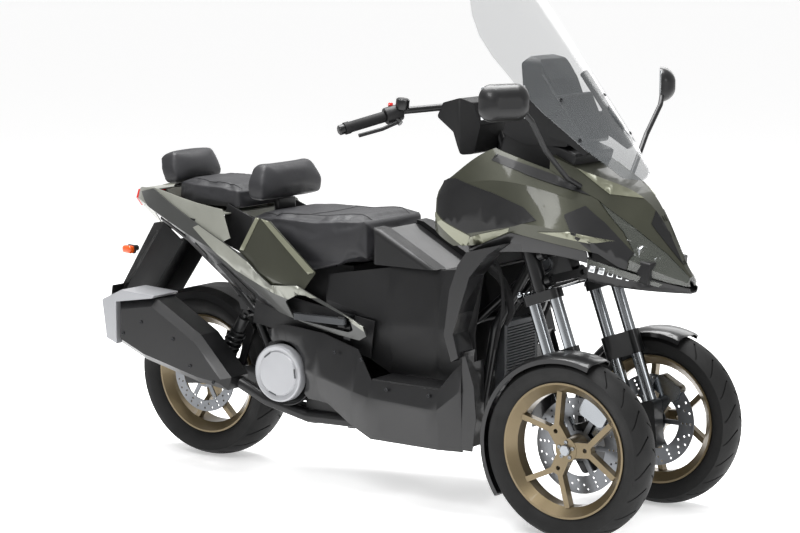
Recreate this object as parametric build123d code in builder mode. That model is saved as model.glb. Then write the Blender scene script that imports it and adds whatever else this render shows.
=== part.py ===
"""A reverse trike: a leaning scooter with two steered front wheels and one driven rear wheel.

Frame of the model: +X forward, +Y to the rider's left, +Z up, millimetres, ground at z = 0.
Each piece is its own solid or group of like solids, written to its own STEP file.
"""
import os
from math import atan2, cos, degrees, hypot, radians, sin

from build123d import *

os.makedirs("parts", exist_ok=True)

RIGHT, LEFT = -1, 1
SIDE_NAMES = {RIGHT: "right", LEFT: "left"}

# ---------------------------------------------------------------- driving dimensions
wheelbase = 1580.0
front_axle_x = 865.0
rear_axle_x = front_axle_x - wheelbase
track = 546.0                 # between the front tyres' middles
fit_gap = 0.3                 # running gap of pins, shafts and seats

front_tyre_radius = 274.5
front_tyre_width = 120.0
rear_tyre_radius = 286.5
rear_tyre_width = 160.0
rim_radius = 204.0            # over the flange, both wheel sizes
bead_radius = 190.0
front_rim_width = 92.0
rear_rim_width = 120.0
rim_wall = 6.0
axle_radius = 10.0
hub_radius = 36.0

disc_radius = 145.0
rear_disc_radius = 130.0
disc_thickness = 5.0
disc_inner_radius = 92.0

steering_rake = 20.0          # all steering axes lean back by this
fork_spacing = 360.0          # between the two side steering axes
fork_tube_radius = 19.0
fork_tube_pitch = 80.0        # fore and aft, between the twin tubes
fork_depth = 52.0             # casting across the vehicle

# stations along the side steering axis, measured up from the axle
slider_foot = -86.0
slider_head = 62.0
clamp_low = 214.0
clamp_high = 288.0
yoke_low = 440.0
yoke_thickness = 30.0
upright_low = 476.0
upright_high = 600.0
stem_radius = 15.0
upright_radius = 25.0
lower_arm_at = 497.0
upper_arm_at = 577.0

handlebar_x = 385.0           # middle of the bar clamp
handlebar_z = 1285.0
grip_end_x = 141.0
grip_end_y = 400.0
grip_end_z = 1196.0
grip_length = 132.0
grip_radius = 17.0
bar_radius = 11.0

front_axle_z = front_tyre_radius
rear_axle_z = rear_tyre_radius
half_track = track / 2
fork_y = fork_spacing / 2
rake = radians(steering_rake)


# ---------------------------------------------------------------- small helpers
def save(piece, name):
    """Label a finished piece and write its STEP file."""
    piece.label = name
    export_step(piece, f"parts/{name}.step")


def side_plane(y):
    """Plane across the vehicle at y: local x is X, local y is Z."""
    return Plane(origin=(0, y, 0), x_dir=(1, 0, 0), z_dir=(0, -1, 0))


def steering_plane(side, height):
    """Plane square to a side steering axis, height measured up that axis from the axle."""
    origin = (front_axle_x - height * sin(rake), side * fork_y, front_axle_z + height * cos(rake))
    return Plane(origin=origin, x_dir=(cos(rake), 0, sin(rake)), z_dir=(-sin(rake), 0, cos(rake)))


def column_plane(height):
    """Plane square to the handlebar's own axis, height measured from the bar clamp."""
    origin = (handlebar_x - height * sin(rake), 0, handlebar_z + height * cos(rake))
    return Plane(origin=origin, x_dir=(cos(rake), 0, sin(rake)), z_dir=(-sin(rake), 0, cos(rake)))


def both_sides(piece):
    """The piece and its mirror image across the vehicle's middle plane."""
    return Compound(children=[piece, mirror(piece, about=Plane.XZ)])


def side_prism(points, inner, outer, side=RIGHT, corner=0.0):
    """Side-view outline of (x, z) points, from |y| = inner to |y| = outer on one side."""
    with BuildPart() as prism:
        with BuildSketch(side_plane(side * inner)):
            with BuildLine():
                Polyline(*points, close=True)
            make_face()
            if corner:
                fillet(vertices(), corner)
        extrude(amount=(outer - inner) if side == RIGHT else -(outer - inner))
    return prism.part


def skin(sections, wall, proud=0.0, ruled=False):
    """Right-hand side wall lofted through cross sections, standing proud by a little if asked.

    Each row is (x, ((half width, height), ...)) with the corners from the lower edge up.
    """
    with BuildPart() as shell:
        for x, corners in sections:
            outside = [(-w - proud, z) for w, z in corners]
            inside = [(wall - w, z) for w, z in reversed(corners)]
            with BuildSketch(Plane.YZ.offset(x)):
                with BuildLine():
                    Polyline(*outside, *inside, close=True)
                make_face()
        loft(ruled=ruled)
    return shell.part


def arch(sections, wall, ruled=False):
    """Both side walls of a skin joined by a wall between their last corners."""
    with BuildPart() as shell:
        for x, corners in sections:
            rise = wall if corners[-1][1] < corners[0][1] else -wall
            inner = [(w - wall, z) for w, z in corners[:-1]]
            inner.append((corners[-1][0] - wall, corners[-1][1] + rise))
            right = [(-w, z) for w, z in corners]
            left = [(w, z) for w, z in reversed(corners)]
            back = [(w, z) for w, z in inner] + [(-w, z) for w, z in reversed(inner)]
            with BuildSketch(Plane.YZ.offset(x)):
                with BuildLine():
                    Polyline(*right, *left, *back, close=True)
                make_face()
        loft(ruled=ruled)
    return shell.part


def core(sections, proud, ruled=False):
    """Solid body inside a skin's sections, larger than them by a little if asked."""
    with BuildPart() as body:
        for x, corners in sections:
            right = [(-w - proud, z) for w, z in corners]
            left = [(w + proud, z) for w, z in reversed(corners)]
            with BuildSketch(Plane.YZ.offset(x)):
                with BuildLine():
                    Polyline(*right, *left, close=True)
                make_face()
        loft(ruled=ruled)
    return body.part


def slab(points, half_width, corner=0.0):
    """Side-view outline of (x, z) points, from side to side across the middle."""
    return side_prism(points, -half_width, half_width, RIGHT, corner)


def tube(points, radius, bend):
    """Round tube along straight runs joined by arcs."""
    with BuildPart() as run:
        with BuildLine() as path:
            FilletPolyline(*points, radius=bend)
        with BuildSketch(Plane(origin=path.line @ 0, z_dir=path.line % 0)):
            Circle(radius)
        sweep()
    return run.part


# ---------------------------------------------------------------- wheels
spoke_count = 3
spoke_thickness = 26.0
spoke_stem_width = 46.0
spoke_arm_width = 17.0
spoke_split_radius = 78.0
spoke_spread = 27.0           # degrees from the stem to each arm's end
spoke_hole_radius = 7.0
rim_root_radius = bead_radius - 12


def rim(centre, rim_width, hub_inner, hub_outer, spoke_at, first_spoke):
    """Cast rim with Y-shaped spokes; axial places are measured to the left of the middle."""
    half = rim_width / 2
    plane = Plane(origin=centre)
    axle = Axis(centre, (0, 1, 0))
    root = rim_root_radius
    with BuildPart() as wheel:
        with BuildSketch(plane):
            with BuildLine():
                Polyline(
                    (rim_radius, -half), (rim_radius, -half + 5), (bead_radius, -half + 9),
                    (bead_radius, -half + 24), (root, -half + 31), (root, half - 31),
                    (bead_radius, half - 24), (bead_radius, half - 9), (rim_radius, half - 5),
                    (rim_radius, half), (rim_radius - rim_wall, half),
                    (root - rim_wall, half - 26), (root - rim_wall, -half + 26),
                    (rim_radius - rim_wall, -half), close=True)
            make_face()
            with BuildLine():
                Polyline((axle_radius + fit_gap, hub_inner), (hub_radius, hub_inner),
                         (hub_radius, hub_outer), (axle_radius + fit_gap, hub_outer), close=True)
            make_face()
        revolve(axis=axle)
        spoke_plane = Plane(origin=(centre[0], centre[1] + spoke_at, centre[2]),
                            x_dir=(1, 0, 0), z_dir=(0, -1, 0))
        split_x = spoke_split_radius
        end_radius = root - rim_wall / 2
        end_x = end_radius * cos(radians(spoke_spread))
        end_y = end_radius * sin(radians(spoke_spread))
        with BuildSketch(spoke_plane):
            with PolarLocations(0, spoke_count, start_angle=first_spoke):
                with Locations(((hub_radius + split_x) / 2, 0)):
                    Rectangle(split_x - hub_radius + 12, spoke_stem_width)
                for turn in (-1, 1):
                    arm_turn = turn * degrees(atan2(end_y, end_x - split_x + 16))
                    with Locations(((split_x - 16 + end_x) / 2, turn * end_y / 2)):
                        Rectangle(hypot(end_x - split_x + 16, end_y), spoke_arm_width,
                                  rotation=arm_turn)
            with PolarLocations(spoke_split_radius - 14, spoke_count, start_angle=first_spoke):
                Circle(spoke_hole_radius, mode=Mode.SUBTRACT)
        extrude(amount=spoke_thickness / 2, both=True)
    return wheel.part


def tyre(centre, radius, width, rim_width):
    """Round-crowned road tyre whose beads seat between the rim's flanges."""
    half, bead = width / 2, rim_width / 2 - 9.5
    with BuildPart() as ring:
        with BuildSketch(Plane(origin=centre)):
            with BuildLine():
                seat = Line((bead_radius + fit_gap, -bead), (bead_radius + fit_gap, bead))
                flank = Line(seat @ 1, (rim_radius + 1, bead + 4))
                wall = ThreePointArc(flank @ 1, (rim_radius + 24, half - 4), (radius - 24, half - 1))
                crown = ThreePointArc(wall @ 1, (radius, 0), (radius - 24, 1 - half))
                wall_2 = ThreePointArc(crown @ 1, (rim_radius + 24, 4 - half),
                                       (rim_radius + 1, -bead - 4))
                Line(wall_2 @ 1, seat @ 0)
            make_face()
        revolve(axis=Axis(centre, (0, 1, 0)))
    return ring.part


def brake_disc(centre, radius, carrier_to):
    """Ventilated brake disc on a star carrier that reaches the hub."""
    with BuildPart() as disc:
        with BuildSketch(side_plane(centre[1])):
            with Locations((centre[0], centre[2])):
                Circle(radius)
                Circle(disc_inner_radius, mode=Mode.SUBTRACT)
                with PolarLocations((disc_inner_radius + hub_radius) / 2, 6):
                    Rectangle(disc_inner_radius - hub_radius + 8, 15)
                Circle(hub_radius + 10)
                Circle(carrier_to, mode=Mode.SUBTRACT)
                for ring_radius, holes in ((radius - 12, 24), (radius - 26, 18), (radius - 40, 12)):
                    with PolarLocations(ring_radius, holes):
                        Circle(4.0, mode=Mode.SUBTRACT)
        extrude(amount=disc_thickness / 2, both=True)
    return disc.part


front_disc_y = half_track - 48.0
front_hub_inner = 52.0        # from the wheel's middle towards the fork
front_hub_outer = 26.0
for side in (RIGHT, LEFT):
    name = SIDE_NAMES[side]
    centre = (front_axle_x, side * half_track, front_axle_z)
    inner, outer = -side * front_hub_inner, side * front_hub_outer
    low, high = min(inner, outer), max(inner, outer)
    save(rim(centre, front_rim_width, low, high, side * 12.0, 5.0), f"rim_front_{name}")
    save(tyre(centre, front_tyre_radius, front_tyre_width, front_rim_width),
         f"tyre_front_{name}")
    disc_centre = (front_axle_x, side * front_disc_y, front_axle_z)
    save(brake_disc(disc_centre, disc_radius, hub_radius + fit_gap), f"disc_front_{name}")

rear_hub_half = 74.0
rear_disc_y = -64.0
rear_centre = (rear_axle_x, 0, rear_axle_z)
save(rim(rear_centre, rear_rim_width, -rear_hub_half, rear_hub_half, -20.0, 35.0), "rim_rear")
save(tyre(rear_centre, rear_tyre_radius, rear_tyre_width, rear_rim_width), "tyre_rear")
save(brake_disc((rear_axle_x, rear_disc_y, rear_axle_z), rear_disc_radius,
                hub_radius + fit_gap), "disc_rear")


# ---------------------------------------------------------------- front suspension
fork_half = fork_depth / 2
casting_half_length = fork_tube_pitch / 2 + fork_tube_radius + 6
foot_half_length = 26.0
caliper_angle = 62.0          # from straight ahead, up round the disc
fender_inner_radius = 284.0
fender_wall = 3.5
fender_half_width = 64.0
fender_skirt = 20.0
fender_front_angle = 70.0
fender_rear_angle = 216.0
rod_arm_length = 70.0
rod_arm_height = 464.0        # up the fork axis, at the yoke
rod_radius = 7.0
rod_end_inset = 15.0
rod_end_radius = 11.0
rod_lift = 15.3               # of the rod's balls over the arms


def plate_on(plane, length, width, thickness, corner=8.0):
    """Rounded block standing on a plane."""
    with BuildPart() as block:
        with BuildSketch(plane):
            RectangleRounded(length, width, corner)
        extrude(amount=thickness)
    return block.part


def fork(side):
    """Black castings of one leading fork: axle casting, clamp, yoke with its stem."""
    tube_places = [(-fork_tube_pitch / 2, 0), (fork_tube_pitch / 2, 0)]
    with BuildPart() as casting:
        with BuildSketch(side_plane(side * fork_y)):
            foot = steering_plane(side, slider_foot).origin
            head = steering_plane(side, slider_head).origin
            along = Vector(cos(rake), 0, sin(rake))
            corners = (head - along * casting_half_length, head + along * casting_half_length,
                       foot + along * foot_half_length, foot - along * foot_half_length)
            with BuildLine():
                Polyline(*[(corner.X, corner.Z) for corner in corners], close=True)
            make_face()
            fillet(vertices(), 14)
            with Locations((front_axle_x, front_axle_z)):
                Circle(44)
        extrude(amount=fork_half, both=True)
        with BuildSketch(side_plane(side * (fork_y + fork_half))):
            with Locations((front_axle_x, front_axle_z)):
                Circle(30)
        extrude(amount=-side * (half_track - front_hub_inner - fork_y - fork_half - 1.0))
        with BuildSketch(side_plane(side * fork_y)):
            with Locations((front_axle_x, front_axle_z)):
                Circle(axle_radius + fit_gap)
        extrude(amount=fork_half + 30, both=True, mode=Mode.SUBTRACT)
    clamp_block = plate_on(steering_plane(side, clamp_low), 2 * casting_half_length, fork_depth,
                           clamp_high - clamp_low, 20)
    with BuildPart() as clamp:
        add(clamp_block)
        with BuildSketch(steering_plane(side, clamp_low)):
            with Locations(*tube_places):
                Circle(fork_tube_radius + fit_gap)
        extrude(amount=clamp_high - clamp_low, mode=Mode.SUBTRACT)
    yoke_top = yoke_low + yoke_thickness
    with BuildPart() as yoke:
        add(plate_on(steering_plane(side, yoke_low), 2 * casting_half_length, fork_depth,
                     yoke_thickness, 20))
        with BuildSketch(steering_plane(side, yoke_top)):
            Circle(stem_radius + 8)
        extrude(amount=upright_low - yoke_top - 1.0)
        with BuildSketch(steering_plane(side, yoke_top)):
            Circle(stem_radius)
        extrude(amount=upright_high - yoke_top + 12)
        with BuildSketch(steering_plane(side, rod_arm_height - 6)):
            with Locations((-rod_arm_length, side * rod_end_inset)):
                Circle(13)
            with BuildLine():
                Polyline((-casting_half_length + 8, -18), (-casting_half_length + 8, 18),
                         (-rod_arm_length, side * rod_end_inset + 12),
                         (-rod_arm_length, side * rod_end_inset - 12), close=True)
            make_face()
        extrude(amount=10)
    return Compound(children=[casting.part, clamp.part, yoke.part])


def fork_steel(side):
    """Bright pieces of one fork: twin tubes, axle and brake caliper."""
    with BuildPart() as tubes:
        with BuildSketch(steering_plane(side, slider_head)):
            with Locations((-fork_tube_pitch / 2, 0), (fork_tube_pitch / 2, 0)):
                Circle(fork_tube_radius)
        extrude(amount=yoke_low - slider_head)
    axle_from, axle_to = fork_y - fork_half - 8, half_track + front_hub_outer + 10
    nut_from = half_track + front_hub_outer + 1.0
    with BuildPart() as axle:
        with BuildSketch(side_plane(side * axle_from)):
            with Locations((front_axle_x, front_axle_z)):
                Circle(axle_radius)
        extrude(amount=-side * (axle_to - axle_from))
        with BuildSketch(side_plane(side * nut_from)):
            with Locations((front_axle_x, front_axle_z)):
                RegularPolygon(16, 6)
        extrude(amount=-side * 9)
    turn = radians(caliper_angle)
    caliper_x = front_axle_x + (disc_radius - 22) * cos(turn)
    caliper_z = front_axle_z + (disc_radius - 22) * sin(turn)
    pad_gap = disc_thickness / 2 + 1.5
    with BuildPart() as caliper:
        with BuildSketch(side_plane(side * (front_disc_y - 20))):
            with Locations(Location((caliper_x, caliper_z), caliper_angle - 90)):
                RectangleRounded(92, 58, 16)
        extrude(amount=-side * 36)
        with BuildSketch(side_plane(side * (front_disc_y - pad_gap))):
            with Locations((front_axle_x, front_axle_z)):
                Circle(disc_radius + 4)
        extrude(amount=-side * 2 * pad_gap, mode=Mode.SUBTRACT)
        bracket_face = fork_y + fork_half + fit_gap
        add(side_prism(((880, 310), (908, 300), (948, 360), (905, 388)), bracket_face,
                       bracket_face + 6, side))
    return Compound(children=[tubes.part, axle.part, caliper.part])


def fender(side):
    """Close-fitting mudguard with side skirts, from ahead of the tyre's top to behind its hip."""
    centre = (front_axle_x, side * half_track, front_axle_z)
    start = radians(fender_front_angle)
    inner, outer = fender_inner_radius, fender_inner_radius + fender_wall
    half, wall = fender_half_width, fender_wall
    profile_plane = Plane(origin=centre, x_dir=(cos(start), 0, sin(start)),
                          z_dir=(-sin(start), 0, cos(start)))
    with BuildPart() as guard:
        with BuildSketch(profile_plane):
            with BuildLine():
                Polyline((inner - fender_skirt, -half), (outer - 10, -half), (outer, -half + 22),
                         (outer, half - 22), (outer - 10, half), (inner - fender_skirt, half),
                         (inner - fender_skirt, half - wall), (inner - 11, half - wall),
                         (inner, half - 23), (inner, -half + 23), (inner - 11, -half + wall),
                         (inner - fender_skirt, -half + wall), close=True)
            make_face()
        revolve(axis=Axis(centre, (0, -1, 0)),
                revolution_arc=fender_rear_angle - fender_front_angle)
        boss = radians(118)
        with BuildSketch(side_plane(side * (fork_y + fork_half + fit_gap))):
            with Locations((front_axle_x + 272 * cos(boss), front_axle_z + 272 * sin(boss))):
                Circle(9)
        extrude(amount=-side * 5.7)
    return guard.part


def tie_rod(side):
    """Rod from the pitman arm on the column to the arm on one fork."""
    plane = steering_plane(side, rod_arm_height)
    fork_end = plane.from_local_coords((-rod_arm_length, side * rod_end_inset, rod_lift))
    reach = column_to_fork(side)
    column_end = fork_end - reach
    with BuildPart() as rod:
        path_plane = Plane(origin=fork_end, z_dir=(column_end - fork_end))
        length = (column_end - fork_end).length
        with BuildSketch(path_plane):
            Circle(rod_radius)
        extrude(amount=length)
        for end in (fork_end, column_end):
            with Locations(end):
                Sphere(rod_end_radius)
    return rod.part


def column_to_fork(side):
    """Vector from the handlebar's axis to a fork's axis, square to both."""
    start = column_plane(0).origin
    across = Vector(front_axle_x, side * fork_y, front_axle_z) - start
    up = Vector(-sin(rake), 0, cos(rake))
    return across - up * across.dot(up)


for side in (RIGHT, LEFT):
    name = SIDE_NAMES[side]
    save(fork(side), f"fork_{name}")
    save(fork_steel(side), f"fork_steel_{name}")
    save(fender(side), f"fender_{name}")
    save(tie_rod(side), f"tie_rod_{name}")


# ---------------------------------------------------------------- frame and tilting arms
rail_radius = 16.0
rail_y = 122.0
upper_rail_radius = 13.0
upper_rail_y = 142.0
head_low, head_high = -575.0, -400.0      # along the column, down from the bar clamp
column_radius = 14.0
head_radius = 28.0
arm_front = 30.0              # the tilting arms' rear face, ahead of the side axes
arm_thickness = 18.0
arm_height = 26.0
pivot_radius = 9.0
swing_pivot_x, swing_pivot_z = -345.0, 335.0
cradle_z = 240.0

lower_rail_route = (
    (590, -34, 800), (500, -118, 580), (446, -rail_y, cradle_z + 40), (400, -rail_y, cradle_z),
    (-270, -rail_y, cradle_z), (swing_pivot_x, -rail_y, swing_pivot_z), (-425, -132, 520))
upper_rail_route = (
    (572, -38, 745), (420, -100, 590), (120, -upper_rail_y, 500), (-425, -upper_rail_y, 540),
    (-620, -118, 700), (-880, -76, 815))

shock_lug_outline = ((-486, 543.5), (-458, 543.5), (-450, 575), (-500, 588))
stand_x, stand_z = -60.0, 198.0
stand_pin_radius = 6.0
stand_ear_outline = ((-74, 188), (-46, 188), (-46, 246), (-74, 246))
peg_x, peg_y = 0.0, 232.0
peg_low, peg_high = 552.0, 572.0
peg_pin_radius = 4.0
peg_arm_outline = ((-13, 500), (13, 500), (13, 579), (-13, 579))
peg_ear_low = ((-13, 545), (13, 545), (13, 551), (-13, 551))
peg_ear_high = ((-13, 573), (13, 573), (13, 579), (-13, 579))
dash_floor = 1150.0

with BuildPart() as rails:
    for route, radius, bend in ((lower_rail_route, rail_radius, 38),
                                (upper_rail_route, upper_rail_radius, 60)):
        add(tube(route, radius, bend))
    for outline, inner, outer in ((shock_lug_outline, 112.3, 148), (stand_ear_outline, 104, 112),
                                  (peg_arm_outline, 146, 214), (peg_ear_low, 210, peg_y + 12),
                                  (peg_ear_high, 210, peg_y + 12)):
        add(side_prism(outline, inner, outer))
    with BuildSketch(Plane(origin=(peg_x, -peg_y, peg_low - 4))):
        Circle(peg_pin_radius)
    extrude(amount=peg_high - peg_low + 8)
    with BuildSketch(side_plane(-96)):
        with Locations((stand_x, stand_z)):
            Circle(stand_pin_radius)
    extrude(amount=14)
    mirror(about=Plane.XZ)
    add(tube(((548, 0, 868), (600, 0, 990), (640, 0, dash_floor - 3.2)), 10, 60))
    add(tube(((545, 0, 885), (740, 0, 905), (900, 0, 856), (961.7, 0, 856)), 9, 40))
    with BuildSketch(column_plane(head_low)):
        Circle(head_radius)
    extrude(amount=head_high - head_low)
    for x, z, half_width, radius in (
            (300, cradle_z, rail_y, 14), (-60, cradle_z, rail_y, 14),
            (swing_pivot_x, swing_pivot_z, rail_y + 4, 20), (-425, 540, upper_rail_y, 12),
            (-862, 807, 80, 10)):
        with BuildSketch(side_plane(half_width)):
            with Locations((x, z)):
                Circle(radius)
        extrude(amount=2 * half_width)
    with BuildSketch(Plane.XZ.offset(-26)):
        with BuildLine():
            corners = [steering_plane(RIGHT, height).from_local_coords((x, 0, 0))
                       for x, height in ((arm_front - 2, upright_low), (arm_front - 2, upright_high),
                                         (-92, upright_high), (-62, upright_low))]
            Polyline(*[(p.X, p.Z) for p in corners], close=True)
        make_face()
    extrude(amount=52)
    for height in (lower_arm_at, upper_arm_at):
        pin = steering_plane(RIGHT, height)
        with BuildSketch(Plane(origin=(pin.origin.X, 0, pin.origin.Z), z_dir=pin.x_dir)):
            Circle(pivot_radius)
        extrude(amount=arm_front + arm_thickness + 6)
    with BuildSketch(column_plane(head_low)):
        Circle(column_radius + fit_gap)
    extrude(amount=head_high - head_low + 1, mode=Mode.SUBTRACT)
save(rails.part, "frame")


def tilt_arm(height):
    """Cross arm of the tilting parallelogram, pinned at the middle and at both uprights."""
    pin = steering_plane(RIGHT, height)
    face = Plane(origin=(pin.origin.X, 0, pin.origin.Z) , x_dir=(0, 1, 0), z_dir=pin.x_dir)
    with BuildPart() as arm:
        with BuildSketch(face.offset(arm_front)):
            SlotOverall(fork_spacing + arm_height + 16, arm_height)
            Circle(24)
            with Locations((-fork_y, 0), (fork_y, 0)):
                Circle(19)
            with Locations((-fork_y, 0), (0, 0), (fork_y, 0)):
                Circle(pivot_radius + fit_gap, mode=Mode.SUBTRACT)
        extrude(amount=arm_thickness)
    return arm.part


def upright(side):
    """Side tube that a fork's stem turns in, with pins for the two arms."""
    with BuildPart() as post:
        with BuildSketch(steering_plane(side, upright_low)):
            Circle(upright_radius)
        extrude(amount=upright_high - upright_low)
        for height in (lower_arm_at, upper_arm_at):
            pin = steering_plane(side, height)
            with BuildSketch(Plane(origin=pin.origin, z_dir=pin.x_dir)):
                Circle(pivot_radius)
            extrude(amount=arm_front + arm_thickness + 6)
        with BuildSketch(steering_plane(side, upright_low)):
            Circle(stem_radius + fit_gap)
        extrude(amount=upright_high - upright_low, mode=Mode.SUBTRACT)
    return post.part


save(Compound(children=[tilt_arm(lower_arm_at), tilt_arm(upper_arm_at)]), "tilt_arms")
save(Compound(children=[upright(RIGHT), upright(LEFT)]), "tilt_uprights")


# ---------------------------------------------------------------- handlebar
column_foot = -645.7
bar_drop = 30.0               # of the bar's middle below the top of the column
clamp_depth = 95.0            # foot of the bar clamp below the top of the column
clamp_radius = 26.0
grip_inner = (231.0, 265.0, 1237.0)


def bar_side(side, radius=bar_radius):
    """Half of the bar, out to the grip's end."""
    end = Vector(grip_end_x, side * grip_end_y, grip_end_z)
    start = Vector(grip_inner[0], side * grip_inner[1], grip_inner[2])
    middle = column_plane(-bar_drop).origin
    return tube([(middle.X, side * 4, middle.Z), (middle.X - 8, side * 110, middle.Z + 2),
                 tuple(start + (start - end) * 0.15), tuple(end)], radius, 40)


def grip(side):
    """Rubber grip round the bar's end."""
    end = Vector(grip_end_x, side * grip_end_y, grip_end_z)
    along = (Vector(grip_inner[0], side * grip_inner[1], grip_inner[2]) - end).normalized()
    with BuildPart() as rubber:
        with BuildSketch(Plane(origin=end - along * 8, z_dir=along)):
            Circle(grip_radius)
        extrude(amount=grip_length)
        with BuildSketch(Plane(origin=end - along * 8, z_dir=along)):
            Circle(grip_radius + 2)
        extrude(amount=16)
        with BuildSketch(Plane(origin=end, z_dir=along)):
            Circle(bar_radius + 0.1)
        extrude(amount=grip_length, mode=Mode.SUBTRACT)
    return rubber.part


def lever(side):
    """Brake lever ahead of a grip."""
    end = Vector(grip_end_x, side * grip_end_y, grip_end_z)
    along = (Vector(grip_inner[0], side * grip_inner[1], grip_inner[2]) - end).normalized()
    ahead = Vector(0.70, side * 0.0, -0.55).normalized()
    mount = end + along * 150
    root = mount + ahead * 34
    with BuildPart() as blade:
        add(tube([tuple(root), tuple(root - along * 60 + ahead * 8),
                  tuple(end + along * 12 + ahead * 40)], 6, 40))
        with BuildSketch(Plane(origin=mount, z_dir=ahead)):
            Circle(9)
        extrude(amount=42)
    return blade.part


with BuildPart() as column:
    with BuildSketch(column_plane(column_foot)):
        Circle(column_radius)
    extrude(amount=-column_foot - bar_drop)
    with BuildSketch(column_plane(column_foot)):
        with BuildLine():
            Polyline((20, 22), (20, -22), (-rod_arm_length - 16, -rod_end_inset - 14),
                     (-rod_arm_length - 16, rod_end_inset + 14), close=True)
        make_face()
        fillet(vertices(), 10)
    extrude(amount=-10)
    add(bar_side(RIGHT))
    add(bar_side(LEFT))
    with BuildSketch(column_plane(-clamp_depth)):
        Circle(clamp_radius)
    extrude(amount=clamp_depth - bar_drop + bar_radius + 6)
    add(lever(RIGHT))
    add(lever(LEFT))
save(column.part, "handlebar")
save(Compound(children=[grip(RIGHT), grip(LEFT)]), "grips")


# ---------------------------------------------------------------- engine, rear end and exhaust
engine_back, engine_front = -300.0, 90.0
engine_half_width = 98.0
engine_low, engine_high = 254.3, 470.0
cover_x, cover_z, cover_radius = -250.0, 370.0, 95.0
cover_inner, cover_outer = 215.0, 256.0
arm_inner, arm_outer = 92.0, 112.0

with BuildPart() as engine:
    with BuildSketch(side_plane(engine_half_width)):
        with BuildLine():
            Polyline((engine_back, engine_low + 40), (engine_back + 40, engine_low),
                     (engine_front - 60, engine_low), (engine_front, engine_low + 60),
                     (engine_front, engine_high), (engine_front - 150, engine_high),
                     (engine_back + 60, engine_high - 20), (engine_back, engine_high - 90),
                     close=True)
        make_face()
        fillet(vertices(), 12)
    extrude(amount=2 * engine_half_width)
    with BuildSketch(side_plane(-engine_half_width)):
        with Locations((cover_x + 20, cover_z)):
            Circle(72)
    extrude(amount=cover_inner - engine_half_width)
save(engine.part, "engine")

with BuildPart() as crank_cover:
    with BuildSketch(side_plane(-cover_inner - fit_gap)):
        with Locations((cover_x, cover_z)):
            Circle(cover_radius)
    extrude(amount=cover_outer - cover_inner, taper=12)
    with BuildSketch(side_plane(-cover_outer)):
        with Locations((cover_x, cover_z)):
            Circle(62)
    extrude(amount=-5, mode=Mode.SUBTRACT)
save(crank_cover.part, "crankcase_cover")

radiator_low, radiator_high, radiator_half = 330.0, 590.0, 96.0
with BuildPart() as radiator:
    with BuildSketch(Plane.YZ.offset(484)):
        with Locations((0, (radiator_low + radiator_high) / 2)):
            RectangleRounded(2 * radiator_half, radiator_high - radiator_low, 8)
    extrude(amount=34)
    with BuildSketch(Plane.YZ.offset(518)):
        with GridLocations(0, 9, 1, 26):
            with Locations((0, (radiator_low + radiator_high) / 2)):
                Rectangle(2 * radiator_half - 30, 3.5)
    extrude(amount=-8, mode=Mode.SUBTRACT)
    add(slab(((484, 440), (484, 460), (490, 460), (490, 440)), 104.3))
save(radiator.part, "radiator")


def swing_side(side):
    """One arm of the swingarm, from its pivot to the rear axle."""
    with BuildPart() as arm:
        with BuildSketch(side_plane(side * arm_inner)):
            with BuildLine():
                Polyline((swing_pivot_x - 24, swing_pivot_z + 26), (swing_pivot_x - 24, swing_pivot_z - 30),
                         (rear_axle_x - 40, rear_axle_z - 30), (rear_axle_x - 52, rear_axle_z + 18),
                         (rear_axle_x + 90, rear_axle_z + 44), close=True)
            make_face()
            fillet(vertices(), 12)
            with Locations((rear_axle_x, rear_axle_z)):
                Circle(axle_radius + fit_gap, mode=Mode.SUBTRACT)
        extrude(amount=-side * (arm_outer - arm_inner))
    return arm.part


with BuildPart() as swingarm:
    add(swing_side(RIGHT))
    add(swing_side(LEFT))
    with BuildSketch(side_plane(arm_inner + 1)):
        with BuildLine():
            Polyline((swing_pivot_x - 24, swing_pivot_z + 24), (swing_pivot_x - 24, swing_pivot_z - 26),
                     (swing_pivot_x - 62, swing_pivot_z - 22), (swing_pivot_x - 62, swing_pivot_z + 22),
                     close=True)
        make_face()
    extrude(amount=2 * arm_inner + 2)
rear_axle_half = arm_outer + 14
with BuildPart() as rear_axle:
    with BuildSketch(side_plane(rear_axle_half)):
        with Locations((rear_axle_x, rear_axle_z)):
            Circle(axle_radius)
    extrude(amount=2 * rear_axle_half)
    for face in (arm_outer + 11, -arm_outer - 1):
        with BuildSketch(side_plane(face)):
            with Locations((rear_axle_x, rear_axle_z)):
                RegularPolygon(17, 6)
        extrude(amount=10)
save(Compound(children=[swingarm.part, rear_axle.part]), "swingarm")


shock_y = arm_outer + 27


def shock(side):
    """Spring and damper between the swingarm and the upper rail."""
    low = Vector(-600, side * shock_y, 304)
    high = Vector(-472, side * shock_y, 528)
    along = (high - low).normalized()
    with BuildPart() as unit:
        with BuildSketch(Plane(origin=low, z_dir=along)):
            Circle(9)
        extrude(amount=(high - low).length)
        for start, radius, length in ((18, 26, 8), (30, 24, 150), (184, 26, 8), (192, 19, 50)):
            with BuildSketch(Plane(origin=low + along * start, z_dir=along)):
                Circle(radius)
            extrude(amount=length)
        for end in (low, high):
            with BuildSketch(Plane(origin=(end.X, side * (arm_outer + fit_gap), end.Z),
                                   z_dir=(0, side, 0))):
                Circle(14)
            extrude(amount=28)
    return unit.part


save(both_sides(shock(RIGHT)), "rear_shocks")

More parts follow.
